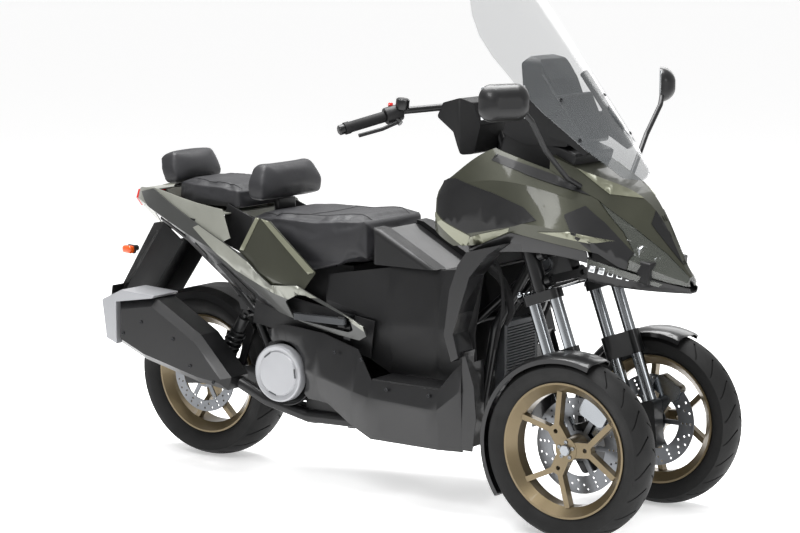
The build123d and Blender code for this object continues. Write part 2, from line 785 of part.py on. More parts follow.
hugger_radius = 297.0
hugger_stay_outline = ((-560, 300), (-530, 305), (-478, 470), (-500, 500))
with BuildPart() as hugger:
    start = radians(42)
    with BuildSketch(Plane(origin=rear_centre, x_dir=(cos(start), 0, sin(start)),
                           z_dir=(-sin(start), 0, cos(start)))):
        with BuildLine():
            Polyline((hugger_radius - 34, -90), (hugger_radius - 10, -90), (hugger_radius + 4, -60),
                     (hugger_radius + 4, 60), (hugger_radius - 10, 90), (hugger_radius - 34, 90),
                     (hugger_radius - 34, 86), (hugger_radius - 12, 86), (hugger_radius, 58),
                     (hugger_radius, -58), (hugger_radius - 12, -86), (hugger_radius - 34, -86),
                     close=True)
        make_face()
    revolve(axis=Axis(rear_centre, (0, -1, 0)), revolution_arc=88)
    for side in (RIGHT, LEFT):
        add(side_prism(hugger_stay_outline, 86, arm_inner - fit_gap, side))
save(hugger.part, "hugger")

muffler_inner, muffler_outer = 172.0, 300.0
muffler_outline = ((-905, 546), (-905, 408), (-790, 362), (-560, 310), (-440, 296), (-425, 340),
                   (-552, 468), (-742, 572))
with BuildPart() as muffler:
    for face, distance, taper in ((muffler_inner + 14, muffler_outer - muffler_inner - 40, 0),
                                  (muffler_outer - 26, 26, 42), (muffler_inner + 14, -14, 42)):
        with BuildSketch(side_plane(-face)):
            with BuildLine():
                Polyline(*muffler_outline, close=True)
            make_face()
        extrude(amount=distance, taper=taper)
    add(tube(((-455, -212, 322), (-330, -205, 268), (-180, -182, 228), (40, -172, 232),
              (66, -162, 330), (66, -engine_half_width - fit_gap, 330)), 21, 30))
    add(side_prism(((-665, 300), (-640, 300), (-640, 350), (-665, 350)),
                   arm_outer + fit_gap, muffler_inner + 18))
save(muffler.part, "muffler")

with BuildPart() as muffler_cap:
    with BuildSketch(side_plane(-muffler_inner + 2)):
        with BuildLine():
            Polyline((-905.3, 549), (-905.3, 404), (-950, 420), (-968, 552), (-880, 592),
                     (-735, 585), (-742, 575), close=True)
        make_face()
    extrude(amount=muffler_outer - muffler_inner)
save(muffler_cap.part, "muffler_cap")


# ---------------------------------------------------------------- bodywork
panel_wall = 4.0

# x, then (half width, height) from the lower edge up
rear_sections = (
    (-1000, ((44, 842), (70, 872), (58, 905))),
    (-860, ((110, 800), (150, 850), (128, 918))),
    (-640, ((150, 690), (205, 780), (182, 890))),
    (-420, ((185, 600), (236, 715), (212, 872))),
    (-200, ((205, 545), (248, 655), (215, 830))),
    (0, ((215, 505), (252, 590), (205, 745))),
    (135, ((215, 480), (250, 555), (195, 700))))
lower_sections = (
    (-350, ((205, 300), (226, 400), (212, 530))),
    (-100, ((225, 290), (252, 380), (225, 520))),
    (60, ((255, 215), (268, 350), (235, 480))),
    (130, ((268, 205), (278, 340), (262, 394))),
    (390, ((272, 205), (286, 330), (272, 394))),
    (470, ((255, 205), (266, 400), (250, 560))))
tunnel_sections = (
    (-100, ((180, 520), (190, 620), (178, 700))),
    (130, ((150, 396), (172, 560), (150, 738))),
    (302, ((142, 396), (153, 560), (122, 740))),
    (470, ((170, 396), (190, 560), (140, 760))))
front_sections = (
    (380, ((252, 830), (276, 905), (268, 985), (240, 1040))),
    (550, ((250, 855), (280, 930), (258, 1050), (215, 1142))),
    (700, ((235, 866), (266, 930), (222, 1035), (150, 1128))),
    (850, ((205, 848), (228, 900), (165, 985), (92, 1062))),
    (970, ((135, 800), (148, 836), (95, 915), (34, 1000))),
    (1060, ((74, 765), (84, 788), (44, 828), (12, 868))),
    (1116, ((24, 748), (28, 758), (18, 768), (6, 778))))


def cut_panel(shell, outline, corner=0.0):
    """Piece of a right-hand skin inside a side-view outline."""
    with BuildPart() as panel:
        add(shell)
        add(side_prism(outline, 8, 320, RIGHT, corner), mode=Mode.INTERSECT)
    return panel.part


rear_skin = skin(rear_sections, panel_wall)
rear_panel_outline = ((-425, 752), (-360, 876), (-320, 868), (-110, 708), (-150, 648),
                      (-275, 642))
save(both_sides(cut_panel(rear_skin, rear_panel_outline, 6)), "rear_panels")

trim_outline = ((-960, 900), (-880, 918), (-840, 905), (-405, 742), (-285, 655), (-170, 664),
                (62, 574), (95, 560), (95, 526), (60, 508), (-250, 536), (-320, 596), (-560, 742),
                (-900, 862))
trim_window = ((-235, 606), (-165, 638), (-130, 636), (45, 578), (45, 540), (20, 530), (-215, 548))
with BuildPart() as trim:
    add(cut_panel(skin(rear_sections, -0.5, 6), trim_outline))
    add(side_prism(trim_window, 100, 330, RIGHT, 8), mode=Mode.SUBTRACT)
save(both_sides(trim.part), "side_trims")

lower_rear_outline = ((-560, 738), (-322, 598), (-255, 544), (-200, 541), (-200, 524),
                      (-340, 530), (-470, 600), (-620, 700), (-700, 760), (-690, 790))
save(both_sides(cut_panel(rear_skin, lower_rear_outline)), "tail_lower_panels")

side_outline = ((-150, 294), (-320, 500), (-250, 528), (60, 505), (118, 470), (128, 395),
                (392, 395), (436, 452), (470, 486), (470, 206), (130, 206), (40, 240), (-60, 292))
with BuildPart() as side_panel:
    add(cut_panel(skin(lower_sections, panel_wall, ruled=True), side_outline))
    with BuildSketch(side_plane(-180)):
        with Locations((cover_x, cover_z)):
            Circle(cover_radius + 9)
    extrude(amount=120, mode=Mode.SUBTRACT)
save(both_sides(side_panel.part), "side_panels")

floor_plate_outline = ((131, 148), (470, 166), (470, 260.5), (396, 266), (388, 270), (134, 262))
floor_top = 398.3
with BuildPart() as tunnel:
    add(skin(tunnel_sections[:3], panel_wall, ruled=True))
    with BuildSketch(Plane.XY.offset(floor_top)):
        with BuildLine():
            Polyline(*[(x, -y) for x, y in floor_plate_outline], close=True)
        make_face()
    extrude(amount=-panel_wall)
    add(side_prism(((-13.3, 499.7), (13.3, 499.7), (13.3, 579.3), (-13.3, 579.3)), 140, 220),
        mode=Mode.SUBTRACT)
    mirror(about=Plane.XZ)
    add(arch(tunnel_sections[2:], panel_wall, ruled=True))
save(tunnel.part, "tunnel")

collar_outline = ((58, 742.3), (58, 858), (84, 854), (296, 742.3))
lid_hinge_x, lid_hinge_z = 290.0, 725.0
lid_back_x, lid_back_z = 62.0, 848.0
lid_half_width = 90.0
lid_thickness = 8.0
well_half_width = 96.0
with BuildPart() as collar:
    add(side_prism(collar_outline, well_half_width - panel_wall, 160))
    outer_face = faces().sort_by(Axis.Y)[0]
    fillet(outer_face.edges().filter_by(lambda edge: edge.center().Z > 745), 18)
    add(side_prism(((84, 700), (84, 750), (280, 750), (280, 700)),
                   well_half_width - panel_wall, well_half_width))
    mirror(about=Plane.XZ)
    add(slab(((84, 700), (84, 704), (280, 704), (280, 700)), well_half_width))
    with BuildSketch(Plane.XY.offset(704)):
        with Locations((170, 0)):
            Circle(38)
    extrude(amount=34)
    for side in (RIGHT, LEFT):
        add(side_prism(((276, 700), (301.7, 700), (301.7, 739), (284, 734)), 72, well_half_width, side))
    with BuildSketch(side_plane(80)):
        with Locations((lid_hinge_x, lid_hinge_z)):
            Circle(3)
    extrude(amount=160)
save(collar.part, "seat_collar")

with BuildPart() as lid:
    run = Vector(lid_back_x - lid_hinge_x, 0, lid_back_z - lid_hinge_z)
    top = Plane(origin=(lid_hinge_x, 0, lid_hinge_z), x_dir=run, z_dir=run.cross(Vector(0, 1, 0)))
    with BuildSketch(top.offset(lid_thickness)):
        with Locations((run.length / 2 + 10, 0)):
            RectangleRounded(run.length - 20, 2 * lid_half_width, 20)
    extrude(amount=-lid_thickness)
    with BuildSketch(top.offset(lid_thickness)):
        with Locations((14, 0)):
            Rectangle(28, 120)
    extrude(amount=-lid_thickness)
    with BuildSketch(side_plane(66)):
        with Locations((lid_hinge_x, lid_hinge_z)):
            Circle(8)
    extrude(amount=132)
    with BuildSketch(side_plane(68)):
        with Locations((lid_hinge_x, lid_hinge_z)):
            Circle(3 + fit_gap)
    extrude(amount=136, mode=Mode.SUBTRACT)
save(lid.part, "fuel_lid")

tub_low, tub_high = 506.0, 724.0
tub_back, tub_front, tub_half_width = -395.0, -40.0, 122.0
tub_wall = 4.0
pan_height = 730.3
with BuildPart() as tub:
    add(slab(((tub_back, tub_low), (tub_back, tub_high), (tub_front, tub_high),
              (tub_front, tub_low)), tub_half_width))
    add(slab(((tub_back + tub_wall, tub_low + tub_wall), (tub_back + tub_wall, tub_high + 1),
              (tub_front - tub_wall, tub_high + 1), (tub_front - tub_wall, tub_low + tub_wall)),
             tub_half_width - tub_wall), mode=Mode.SUBTRACT)
    for side in (RIGHT, LEFT):
        for x in (-300, -120):
            add(side_prism(((x - 12, 505), (x + 12, 505), (x + 12, 545), (x - 12, 545)),
                           tub_half_width - 1, 128.5, side))
            add(side_prism(((x - 15, tub_high - 8), (x + 15, tub_high - 8),
                            (x + 15, pan_height - fit_gap), (x - 15, pan_height - fit_gap)),
                           tub_half_width - tub_wall, tub_half_width + 10, side))
save(tub.part, "storage_tub")


# ---------------------------------------------------------------- front bodywork
shield_half_width = 285.0
shield_outline = ((631, 866), (571, 826), (511, 756), (472, 640), (452, 576), (472, 505),
                  (446, 490), (419, 570), (439, 710), (469, 790), (500, 832))
shield_hollow = ((596, 856), (560, 826), (504, 758), (466, 642), (446, 576), (452, 520),
                 (426, 572), (444, 706), (474, 787), (503, 826))
cheek_outline = ((470.4, 214), (470.4, 512), (478, 520), (512, 420), (522, 320), (508, 214))
with BuildPart() as shield:
    add(side_prism(shield_outline, 90, shield_half_width))
    add(side_prism(shield_hollow, 80, shield_half_width - panel_wall), mode=Mode.SUBTRACT)
    add(side_prism(((470.4, 214), (470.4, 505), (474.4, 505), (474.4, 214)), 144, 258))
    add(side_prism(((452, 498), (474, 498), (478, 520), (452, 520)), 200, 258))
    add(side_prism(cheek_outline, 256, 260))
    add(core(tunnel_sections[1:], 0.5, ruled=True), mode=Mode.SUBTRACT)
    add(side_prism(((400, 480), (700, 480), (700, 900), (400, 900)), 0, 200), mode=Mode.SUBTRACT)
save(both_sides(shield.part), "legshield")

cowl_outline = ((345, 905), (370, 990), (400, 1040), (470, 1100), (550, 1145), (720, 1085),
                (868, 1000), (948, 908), (984, 850), (966, 795), (900, 850), (640, 900),
                (470, 830))
upper_outline = ((720.5, 1085.6), (868.6, 1000.6), (962, 928), (1052, 845), (1114, 774), (1135, 800),
                 (1060, 960), (960, 1080), (780, 1190), (700, 1150))
lamp_outline = ((870, 999), (961.4, 927), (1051.4, 844), (1113.4, 773), (1116, 735),
                (1000, 765), (967, 795), (985, 850), (949, 909))
save(both_sides(cut_panel(skin(front_sections, panel_wall), cowl_outline)), "cowl_sides")

# dark lip along the wheel arch, hung from the cowl's lower edge
lip_depth, lip_tuck = 26.0, 8.0
lip_sections = [(x, ((corners[0][0] - lip_tuck, corners[0][1] - lip_depth), corners[0], corners[1]))
                for x, corners in front_sections[:5]]
lip_outline = ((484, 835.3), (640, 899.5), (869.6, 855.4), (869.6, 800), (518, 765), (571.4, 825.5),
               (632, 866.4), (500.2, 832.6), (484, 832.6))
save(both_sides(cut_panel(skin(lip_sections, panel_wall), lip_outline)), "arch_lips")
front_shell = arch(front_sections, panel_wall)
with BuildPart() as upper_cowl:
    add(front_shell)
    add(slab(upper_outline, 300), mode=Mode.INTERSECT)
save(upper_cowl.part, "upper_cowl")
# sections just inside the front shell
lining_sections = [(x, [(w - 4.4, z - 0.1) for w, z in corners[:-1]]
                    + [(max(corners[-1][0] - 4.4, 1), corners[-1][1] - 6)])
                   for x, corners in front_sections]
with BuildPart() as lamp_unit:
    add(slab(((962, 840), (962, 870), (985, 870), (985, 840)), 150))
    add(slab(((962, 840), (962, 1010), (976, 1010), (976, 840)), 12))
    add(core(lining_sections, 0.0), mode=Mode.INTERSECT)
    add(slab(((990, 743), (990, 860), (1008, 860), (1008, 743)), 10))
    add(slab(((980, 845), (980, 860), (995, 860), (995, 845)), 10))
    add(both_sides(cut_panel(skin(front_sections, 14, -3), lamp_outline)))
save(lamp_unit.part, "lamps_front")

nose_sections = (
    (870, ((197, 838), (200, 800), (190, 765))),
    (980, ((131, 792), (126, 768), (112, 740))),
    (1060, ((75, 763), (68, 746), (52, 730))),
    (1120, ((27, 744), (24, 734), (16, 727))))
save(arch(nose_sections, panel_wall), "nose")

dash_outline = ((520, 1180), (600, dash_floor), (760, dash_floor), (690, 1300), (560, 1275))
visor_outline = ((540, 1230), (570, 1300), (562, 1392), (586, 1414), (624, 1404), (664, 1345),
                 (700, 1260), (700, 1230))
dash_half_width = 120.0
visor_half_width = 80.0
with BuildPart() as dash:
    add(slab(visor_outline, visor_half_width, 10))
    with BuildSketch(Plane.YZ.offset(500)):
        with Locations((0, 1314)):
            RectangleRounded(2 * visor_half_width, 204, 36)
    extrude(amount=300, mode=Mode.INTERSECT)
    add(slab(dash_outline, dash_half_width, 12))
save(dash.part, "dash")

screen_origin = Vector(950, 0, 1040)
screen_up = Vector(-0.612, 0, 0.791)
screen_back = Vector(-0.791, 0, -0.612)
screen_width, screen_bow, screen_wall = 260.0, 87.0, 4.0
screen_outline = ((0, 1050), (80, 1064), (150, 1150), (205, 1260), (227, 1340), (240, 1420),
                  (240, 1480), (226, 1540), (200, 1600), (184, 1660), (150, 1700), (0, 1706))
with BuildPart() as screen:
    with BuildSketch(Plane(origin=screen_origin, x_dir=(0, 1, 0), z_dir=screen_up)):
        with BuildLine():
            outer_arc = ThreePointArc((-screen_width, screen_bow), (0, 0),
                                      (screen_width, screen_bow))
            inner_arc = ThreePointArc((-screen_width, screen_bow + screen_wall), (0, screen_wall),
                                      (screen_width, screen_bow + screen_wall))
            Line(outer_arc @ 0, inner_arc @ 0)
            Line(outer_arc @ 1, inner_arc @ 1)
        make_face()
    extrude(amount=900)
    with BuildSketch(Plane.YZ.offset(300)):
        with BuildLine():
            Polyline(*screen_outline, *[(-y, z) for y, z in reversed(screen_outline[1:-1])],
                     close=True)
        make_face()
        fillet(vertices().filter_by(lambda corner: corner.Z > 1340), 8)
    extrude(amount=800, mode=Mode.INTERSECT)
save(screen.part, "windscreen")

bracket_depth = 25.7


def behind_screen(rise, depth):
    """Side-view point up the screen's middle line and behind its face."""
    point = screen_origin + screen_up * rise + screen_back * depth
    return (point.X, point.Z)


bracket_outline = (behind_screen(150, bracket_depth), behind_screen(430, bracket_depth),
                   behind_screen(430, 50), behind_screen(290, 50), (690, 1240), (690, 1180),
                   (756, 1165), behind_screen(150, 50))
save(both_sides(side_prism(bracket_outline, dash_half_width + fit_gap, 134, RIGHT, 5)),
     "screen_bracket")

mirror_centre = (742, -462, 1304)
mirror_turn = 30.0            # degrees that a head's outer end stands back
mirror_length, mirror_height = 158.0, 108.0
mirror_pocket = 3.0           # the glass sits this far inside the rim
mirror_plane = Plane(origin=mirror_centre,
                     x_dir=(-sin(radians(mirror_turn)), -cos(radians(mirror_turn)), 0),
                     z_dir=(cos(radians(mirror_turn)), -sin(radians(mirror_turn)), 0))
with BuildPart() as mirror_unit:
    for depth, inset, corner in ((0, 0, 40), (18, 8, 36), (36, 34, 30), (46, 78, 12)):
        with BuildSketch(mirror_plane.offset(depth)):
            RectangleRounded(mirror_length - inset, mirror_height - inset, corner)
    loft()
    with BuildSketch(mirror_plane):
        RectangleRounded(mirror_length - 10, mirror_height - 10, 36)
    extrude(amount=mirror_pocket, mode=Mode.SUBTRACT)
    add(tube(((815, -150, 1040), (800, -202, 1068), (784, -300, 1158), (788, -380, 1246),
              (774, -420, 1288)), 8, 40))
save(both_sides(mirror_unit.part), "mirrors")

cover_outline = ((318, 1224), (340, 1268), (398, 1284), (428, 1268), (444, 1200), (430, 1112),
                 (400, 1110), (376, 1180))
cover_plan = ((120, 450), (172, 395), (176, 300), (60, 310))
with BuildPart() as bar_cover:
    add(slab(cover_outline, 200, 10))
    with BuildSketch(Plane.XY.offset(1100)):
        with BuildLine():
            Polyline(*[(x, -y) for y, x in cover_plan], *[(x, y) for y, x in reversed(cover_plan)],
                     close=True)
        make_face()
        fillet(vertices(), 18)
    extrude(amount=200, mode=Mode.INTERSECT)
    for side in (RIGHT, LEFT):
        add(bar_side(side, bar_radius + fit_gap), mode=Mode.SUBTRACT)
    with BuildSketch(column_plane(-400)):
        Circle(column_radius + fit_gap)
    extrude(amount=400, mode=Mode.SUBTRACT)
    with BuildSketch(column_plane(-clamp_depth - fit_gap)):
        Circle(clamp_radius + fit_gap)
    extrude(amount=clamp_depth - bar_drop + bar_radius + 6 + 2 * fit_gap, mode=Mode.SUBTRACT)
save(bar_cover.part, "bar_cover")


# ---------------------------------------------------------------- saddle, tail and small moving pieces
seat_outline = ((-442, 792), (-442, 848), (-425, 864), (-300, 872), (-150, 868), (-50, 880),
                (30, 882), (45, 868), (45, 748), (15, 752), (-165, 704), (-330, 775))
with BuildPart() as seat:
    with BuildSketch(Plane.XY.offset(690)):
        with BuildLine():
            Polyline((-442, 168), (-300, 184), (-100, 190), (45, 160), (45, -160), (-100, -190),
                     (-300, -184), (-442, -168), close=True)
        make_face()
        fillet(vertices(), 12)
    extrude(amount=210)
    add(slab(seat_outline, 250), mode=Mode.INTERSECT)
    add(slab(((-460, 690), (60, 690), (60, pan_height), (-460, pan_height)), 150),
        mode=Mode.SUBTRACT)
save(seat.part, "rider_seat")



def back_pad(outline, corner, front_points, front_corner):
    """Pad with a side-view outline of (x, z) and a front-view outline of (half width, height)."""
    with BuildPart() as pad:
        add(slab(outline, 300, corner))
        with BuildSketch(Plane.YZ.offset(-1000)):
            with BuildLine():
                Polyline(*[(-w, z) for w, z in front_points],
                         *[(w, z) for w, z in reversed(front_points)], close=True)
            make_face()
            fillet(vertices(), front_corner)
        extrude(amount=800, mode=Mode.INTERSECT)
    return pad.part


backrest_low = 908.0
backrest_outline = ((-446, backrest_low), (-446, 1020), (-432, 1034), (-394, 1032),
                    (-374, 960), (-376, backrest_low))
backrest_front = ((162, backrest_low - 4), (188, 965), (160, 1036))
with BuildPart() as lumbar_bracket:
    add(slab(((-424, 864.4), (-402, 865.8), (-402, backrest_low - fit_gap),
              (-424, backrest_low - fit_gap)), 45))
save(Compound(children=[back_pad(backrest_outline, 10, backrest_front, 34),
                        lumbar_bracket.part]), "rider_backrest")

cushion_low = 880.0
deck_height = 866.0
with BuildPart() as rear_cushion:
    with BuildSketch(Plane.XY.offset(cushion_low)):
        with BuildLine():
            Polyline((-480, 158), (-690, 146), (-788, 108), (-788, -108), (-690, -146),
                     (-480, -158), close=True)
        make_face()
        fillet(vertices(), 20)
    extrude(amount=72)
    add(slab(((-470, 870), (-470, 940), (-600, 955), (-800, 962), (-800, 870)), 200),
        mode=Mode.INTERSECT)
save(rear_cushion.part, "pillion_seat")

rest_outline = ((-772, 968), (-806, 1048), (-868, 1034), (-836, 956))
rest_front = ((112, 950), (124, 1000), (106, 1050))
with BuildPart() as rest_stem:
    add(slab(((-872, 917.2), (-846, 919.2), (-812, 960.2), (-832, 956.4)), 34))
save(Compound(children=[back_pad(rest_outline, 10, rest_front, 22), rest_stem.part]),
     "pillion_backrest")

tail_outline = ((-1000, 838), (-1000, 910), (-860, 922), (-640, 894), (-520, 884), (-470, 790),
                (-560, 752), (-900, 870))
with BuildPart() as tail:
    add(cut_panel(skin(rear_sections, panel_wall), tail_outline))
    with BuildSketch(Plane.XY.offset(deck_height)):
        with BuildLine():
            Polyline((-868, 0), (-868, -139), (-640, -185), (-512, -200), (-512, 0), close=True)
        make_face()
    extrude(amount=-panel_wall)
    for x, y in ((-550, 100), (-740, 80)):
        with BuildSketch(Plane.XY.offset(deck_height)):
            with Locations((x, -y)):
                Circle(14)
        extrude(amount=cushion_low - deck_height - fit_gap)
    mirror(about=Plane.XZ)
    add(arch(rear_sections[:2], panel_wall))
    add(slab(((-868, 817.3), (-856, 817.3), (-856, 864), (-868, 864)), 20))
save(tail.part, "tail_cowl")

lamp_corners = ((39.7, 842.3), (65.6, 872), (53.6, 900.6))
lamp_rows = ((-1012, lamp_corners), (-985, lamp_corners))
save(core(lamp_rows, 0.0, ruled=True), "tail_lamp")

holder_outline = ((-840, 796.7), (-895, 796.7), (-960, 785), (-1108, 560), (-1139.5, 380),
                  (-1133, 380), (-1094, 562), (-948, 760), (-840, 775))
with BuildPart() as holder:
    add(slab(holder_outline, 34))
    add(slab(((-1139.5, 380), (-1108, 560), (-1104, 560), (-1135.5, 380)), 90))
save(holder.part, "plate_holder")

with BuildPart() as indicator:
    with BuildSketch(side_plane(-34.3)):
        with Locations((-1010, 698)):
            Circle(8)
    extrude(amount=40)
    with BuildSketch(side_plane(-70)):
        with Locations((-1010, 698)):
            Ellipse(30, 16)
    extrude(amount=60)
save(both_sides(indicator.part), "indicators")

stand_leg = 172.0
with BuildPart() as stand:
    add(tube(((stand_x, -80, stand_z), (stand_x - 40, -88, stand_z),
              (stand_x - stand_leg + 6, -95, stand_z)), 10, 20))
    add(side_prism(((stand_x - stand_leg - 8, stand_z - 12), (stand_x - stand_leg - 8, stand_z + 12),
                    (stand_x - stand_leg + 30, stand_z + 12), (stand_x - stand_leg + 30, stand_z - 12)),
                   82, 112))
    mirror(about=Plane.XZ)
    with BuildSketch(side_plane(103)):
        with Locations((stand_x, stand_z)):
            Circle(12)
        with Locations((stand_x - 120, stand_z)):
            Circle(7)
    extrude(amount=206)
    with BuildSketch(side_plane(104)):
        with Locations((stand_x, stand_z)):
            Circle(stand_pin_radius + fit_gap)
    extrude(amount=208, mode=Mode.SUBTRACT)
save(stand.part, "centre_stand")

for side in (RIGHT, LEFT):
    with BuildPart() as peg:
        with BuildSketch(Plane.XY.offset(peg_low)):
            with Locations((peg_x - 95, side * peg_y)):
                RectangleRounded(200, 22, 8)
            with Locations((peg_x, side * peg_y)):
                Circle(11)
                Circle(peg_pin_radius + fit_gap, mode=Mode.SUBTRACT)
        extrude(amount=peg_high - peg_low)
    save(peg.part, f"footpeg_{SIDE_NAMES[side]}")
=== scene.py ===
# %% [markdown]
# # Dressing a reverse trike
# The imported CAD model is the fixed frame: every rigid piece is already in its place. This script
# gives each one its finish, adds what a plain solid can't show, such as stuffed seats, tread,
# seams, screws and hoses, and lights it all in a plain studio.

# %% Load the frame
from math import atan2, cos, degrees, hypot, pi, radians, sin

import bpy
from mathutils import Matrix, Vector


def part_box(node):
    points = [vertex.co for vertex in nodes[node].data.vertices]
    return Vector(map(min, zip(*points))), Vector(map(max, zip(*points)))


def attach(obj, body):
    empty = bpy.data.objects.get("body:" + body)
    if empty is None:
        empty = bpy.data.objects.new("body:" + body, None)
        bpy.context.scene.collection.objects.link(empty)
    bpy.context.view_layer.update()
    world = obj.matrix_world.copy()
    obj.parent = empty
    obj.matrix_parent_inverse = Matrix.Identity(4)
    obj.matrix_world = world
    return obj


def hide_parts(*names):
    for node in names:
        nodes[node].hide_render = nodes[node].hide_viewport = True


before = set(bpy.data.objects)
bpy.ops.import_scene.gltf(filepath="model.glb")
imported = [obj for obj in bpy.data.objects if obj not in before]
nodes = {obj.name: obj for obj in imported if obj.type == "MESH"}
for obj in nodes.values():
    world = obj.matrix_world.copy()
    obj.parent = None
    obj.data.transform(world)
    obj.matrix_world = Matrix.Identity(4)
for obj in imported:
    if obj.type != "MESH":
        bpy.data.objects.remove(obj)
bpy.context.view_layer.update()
sides = ((-1, "right"), (1, "left"))
print(f"{len(nodes)} CAD nodes carried over")

# %% [markdown]
# ## From a colour code to a material
# Paint is chosen by an sRGB code, but a shader reckons in linear light, so one function turns the
# first into the second. A second one adds a shader node with its settings and links, which keeps
# the materials below short.


# %% Colour, node and material helpers
def linear(code):
    """Linear RGBA of an sRGB hex colour."""
    parts = [int(code[i:i + 2], 16) / 255 for i in (1, 3, 5)]
    light = [c / 12.92 if c <= 0.04045 else ((c + 0.055) / 1.055) ** 2.4 for c in parts]
    return (*light, 1.0)


def add_node(tree, kind, inputs=None, **settings):
    """A shader node with its settings and its inputs' values or links."""
    made = tree.nodes.new(kind)
    for key, value in settings.items():
        setattr(made, key, value)
    for key, value in (inputs or {}).items():
        if isinstance(value, bpy.types.NodeSocket):
            tree.links.new(value, made.inputs[key])
        else:
            made.inputs[key].default_value = value
    return made


def new_material(name):
    """An empty node material, its principled shader and its object coordinates."""
    material = bpy.data.materials.new(name)
    material.use_nodes = True
    tree = material.node_tree
    shader = tree.nodes["Principled BSDF"]
    coordinates = tree.nodes.new("ShaderNodeTexCoord").outputs["Object"]
    return material, tree, shader, coordinates


def mottle(tree, coordinates, scale, low, high):
    """Soft noise with so many patches a metre, remapped to run from low to high."""
    noise = add_node(tree, "ShaderNodeTexNoise",
                     {"Vector": coordinates, "Scale": scale, "Detail": 4.0})
    remap = add_node(tree, "ShaderNodeMapRange",
                     {"Value": noise.outputs["Fac"], "From Min": 0.3, "From Max": 0.7,
                      "To Min": low, "To Max": high})
    return remap.outputs["Result"]


def blend_colours(tree, factor, first, second):
    """Colour between two, by a factor socket."""
    colour_a, colour_b, colour_out = 6, 7, 2
    mix = add_node(tree, "ShaderNodeMix", data_type="RGBA")
    tree.links.new(factor, mix.inputs["Factor"])
    mix.inputs[colour_a].default_value = first
    mix.inputs[colour_b].default_value = second
    return mix.outputs[colour_out]


# %% [markdown]
# ## One recipe for a solid finish
# No real surface is one even colour. The recipe wanders between two close colours and two close
# roughnesses in patches as broad as a hand, and can add a fine bump for the grain of a mould, a
# casting or the flake in a paint. A coat is the clear lacquer over it. The grain is counted in
# grains a metre: 1500 gives grains two thirds of a millimetre across.

# %% The solid finish
patches_per_metre = 6.0
plain_specular, metal_specular = 0.26, 0.5
coat_roughness = 0.06
grain_height = 0.0006


def finish_material(name, colour, other, roughness, metallic=0.0, coat=0.0, grain=0.0,
                    grain_scale=900.0):
    """Material with patchy colour, patchy roughness and a fine moulded or cast grain."""
    material, tree, shader, coordinates = new_material(name)
    patches = mottle(tree, coordinates, patches_per_metre, 0.0, 1.0)
    tree.links.new(blend_colours(tree, patches, linear(colour), linear(other)),
                   shader.inputs["Base Color"])
    worn = mottle(tree, coordinates, patches_per_metre * 2.3, roughness * 0.88,
                  min(1.0, roughness * 1.14))
    tree.links.new(worn, shader.inputs["Roughness"])
    shader.inputs["Metallic"].default_value = metallic
    specular = plain_specular if metallic < 0.3 else metal_specular
    shader.inputs["Specular IOR Level"].default_value = specular
    shader.inputs["Coat Weight"].default_value = coat
    shader.inputs["Coat Roughness"].default_value = coat_roughness
    if grain:
        noise = add_node(tree, "ShaderNodeTexNoise",
                         {"Vector": coordinates, "Scale": grain_scale, "Detail": 3.0})
        bump = add_node(tree, "ShaderNodeBump", {"Height": noise.outputs["Fac"],
                                                 "Strength": grain, "Distance": grain_height})
        tree.links.new(bump.outputs["Normal"], shader.inputs["Normal"])
    return material


# %% [markdown]
# ## Paints of the bodywork
# The panels are sprayed plastic: olive with metal flake under lacquer, satin graphite and blacks,
# and pale trims. Paler olive on some facets and pale grey bands on the side trims are painted
# highlights. Flake could be drawn speck by speck, but at this distance it only softens the
# highlight, so a partly metallic base with a fine grain does the same. Real flake is a few
# hundredths of a millimetre and wouldn't show at all; here it is drawn about 0.4 mm across.

# %% Paints
# metallic olive under clear lacquer: a dark body with a soft, wide highlight
olive_paint = finish_material("olive_metallic_lacquer", "#2b2c21", "#323327", roughness=0.42,
                              metallic=0.5, coat=0.35, grain=0.10, grain_scale=2600.0)
# a paler copy of the olive: a painted highlight on the facets that face the light
olive_painted_highlight = finish_material("olive_painted_highlight_lacquer", "#6a6b5a", "#747564", roughness=0.36,
                             metallic=0.4, coat=0.5, grain=0.08, grain_scale=2600.0)
# satin graphite paint: nearly black, with an even sheen on each facet
graphite_paint = finish_material("graphite_satin_paint", "#121213", "#161617", roughness=0.34,
                                 metallic=0.1, coat=0.3, grain=0.08, grain_scale=2200.0)
# black gloss paint: clear highlights on the fuel lid, the brow and the reservoirs
black_gloss = finish_material("black_gloss_lacquer", "#0c0c0d", "#101011", roughness=0.30,
                              coat=0.35)
# satin black paint: a broad dull highlight on the mirror shells and the cowl's strips
black_satin = finish_material("black_satin_lacquer", "#111112", "#161617", roughness=0.40,
                              coat=0.15)
# satin grey-green metallic of the side trims
trim_paint = finish_material("grey_green_satin_metallic", "#2f302f", "#373836", roughness=0.36,
                             metallic=0.35, coat=0.3, grain=0.06, grain_scale=1800.0)
# pale grey metallic of the tail cowl; on the trims' upper bands the same colour is a painted
# highlight
pale_trim_and_highlight = finish_material("pale_grey_metallic_and_painted_highlight", "#777870", "#81827a", roughness=0.38,
                            metallic=0.35, coat=0.25)
# satin silver paint of the silencer's cap and of the crank lid
silver_paint = finish_material("silver_satin_paint", "#8b8c8f", "#949598", roughness=0.38,
                               metallic=0.3, coat=0.25, grain=0.06, grain_scale=1800.0)
# high-temperature black paint of the silencer, slightly grainy
heat_black = finish_material("heat_resistant_black_paint", "#0e0e0f", "#121213", roughness=0.36,
                             metallic=0.1, coat=0.15, grain=0.15, grain_scale=1500.0)
# white paint of the blank plate
plate_white = finish_material("painted_plate_aluminium", "#c9c9c6", "#d2d2cf", roughness=0.4,
                              metallic=0.1, coat=0.4)

# %% [markdown]
# ## Metals
# Castings are blasted or anodised, tubes are enamelled or chromed, and discs are ground. The
# rougher the last tool, the higher the roughness and the stronger the grain.

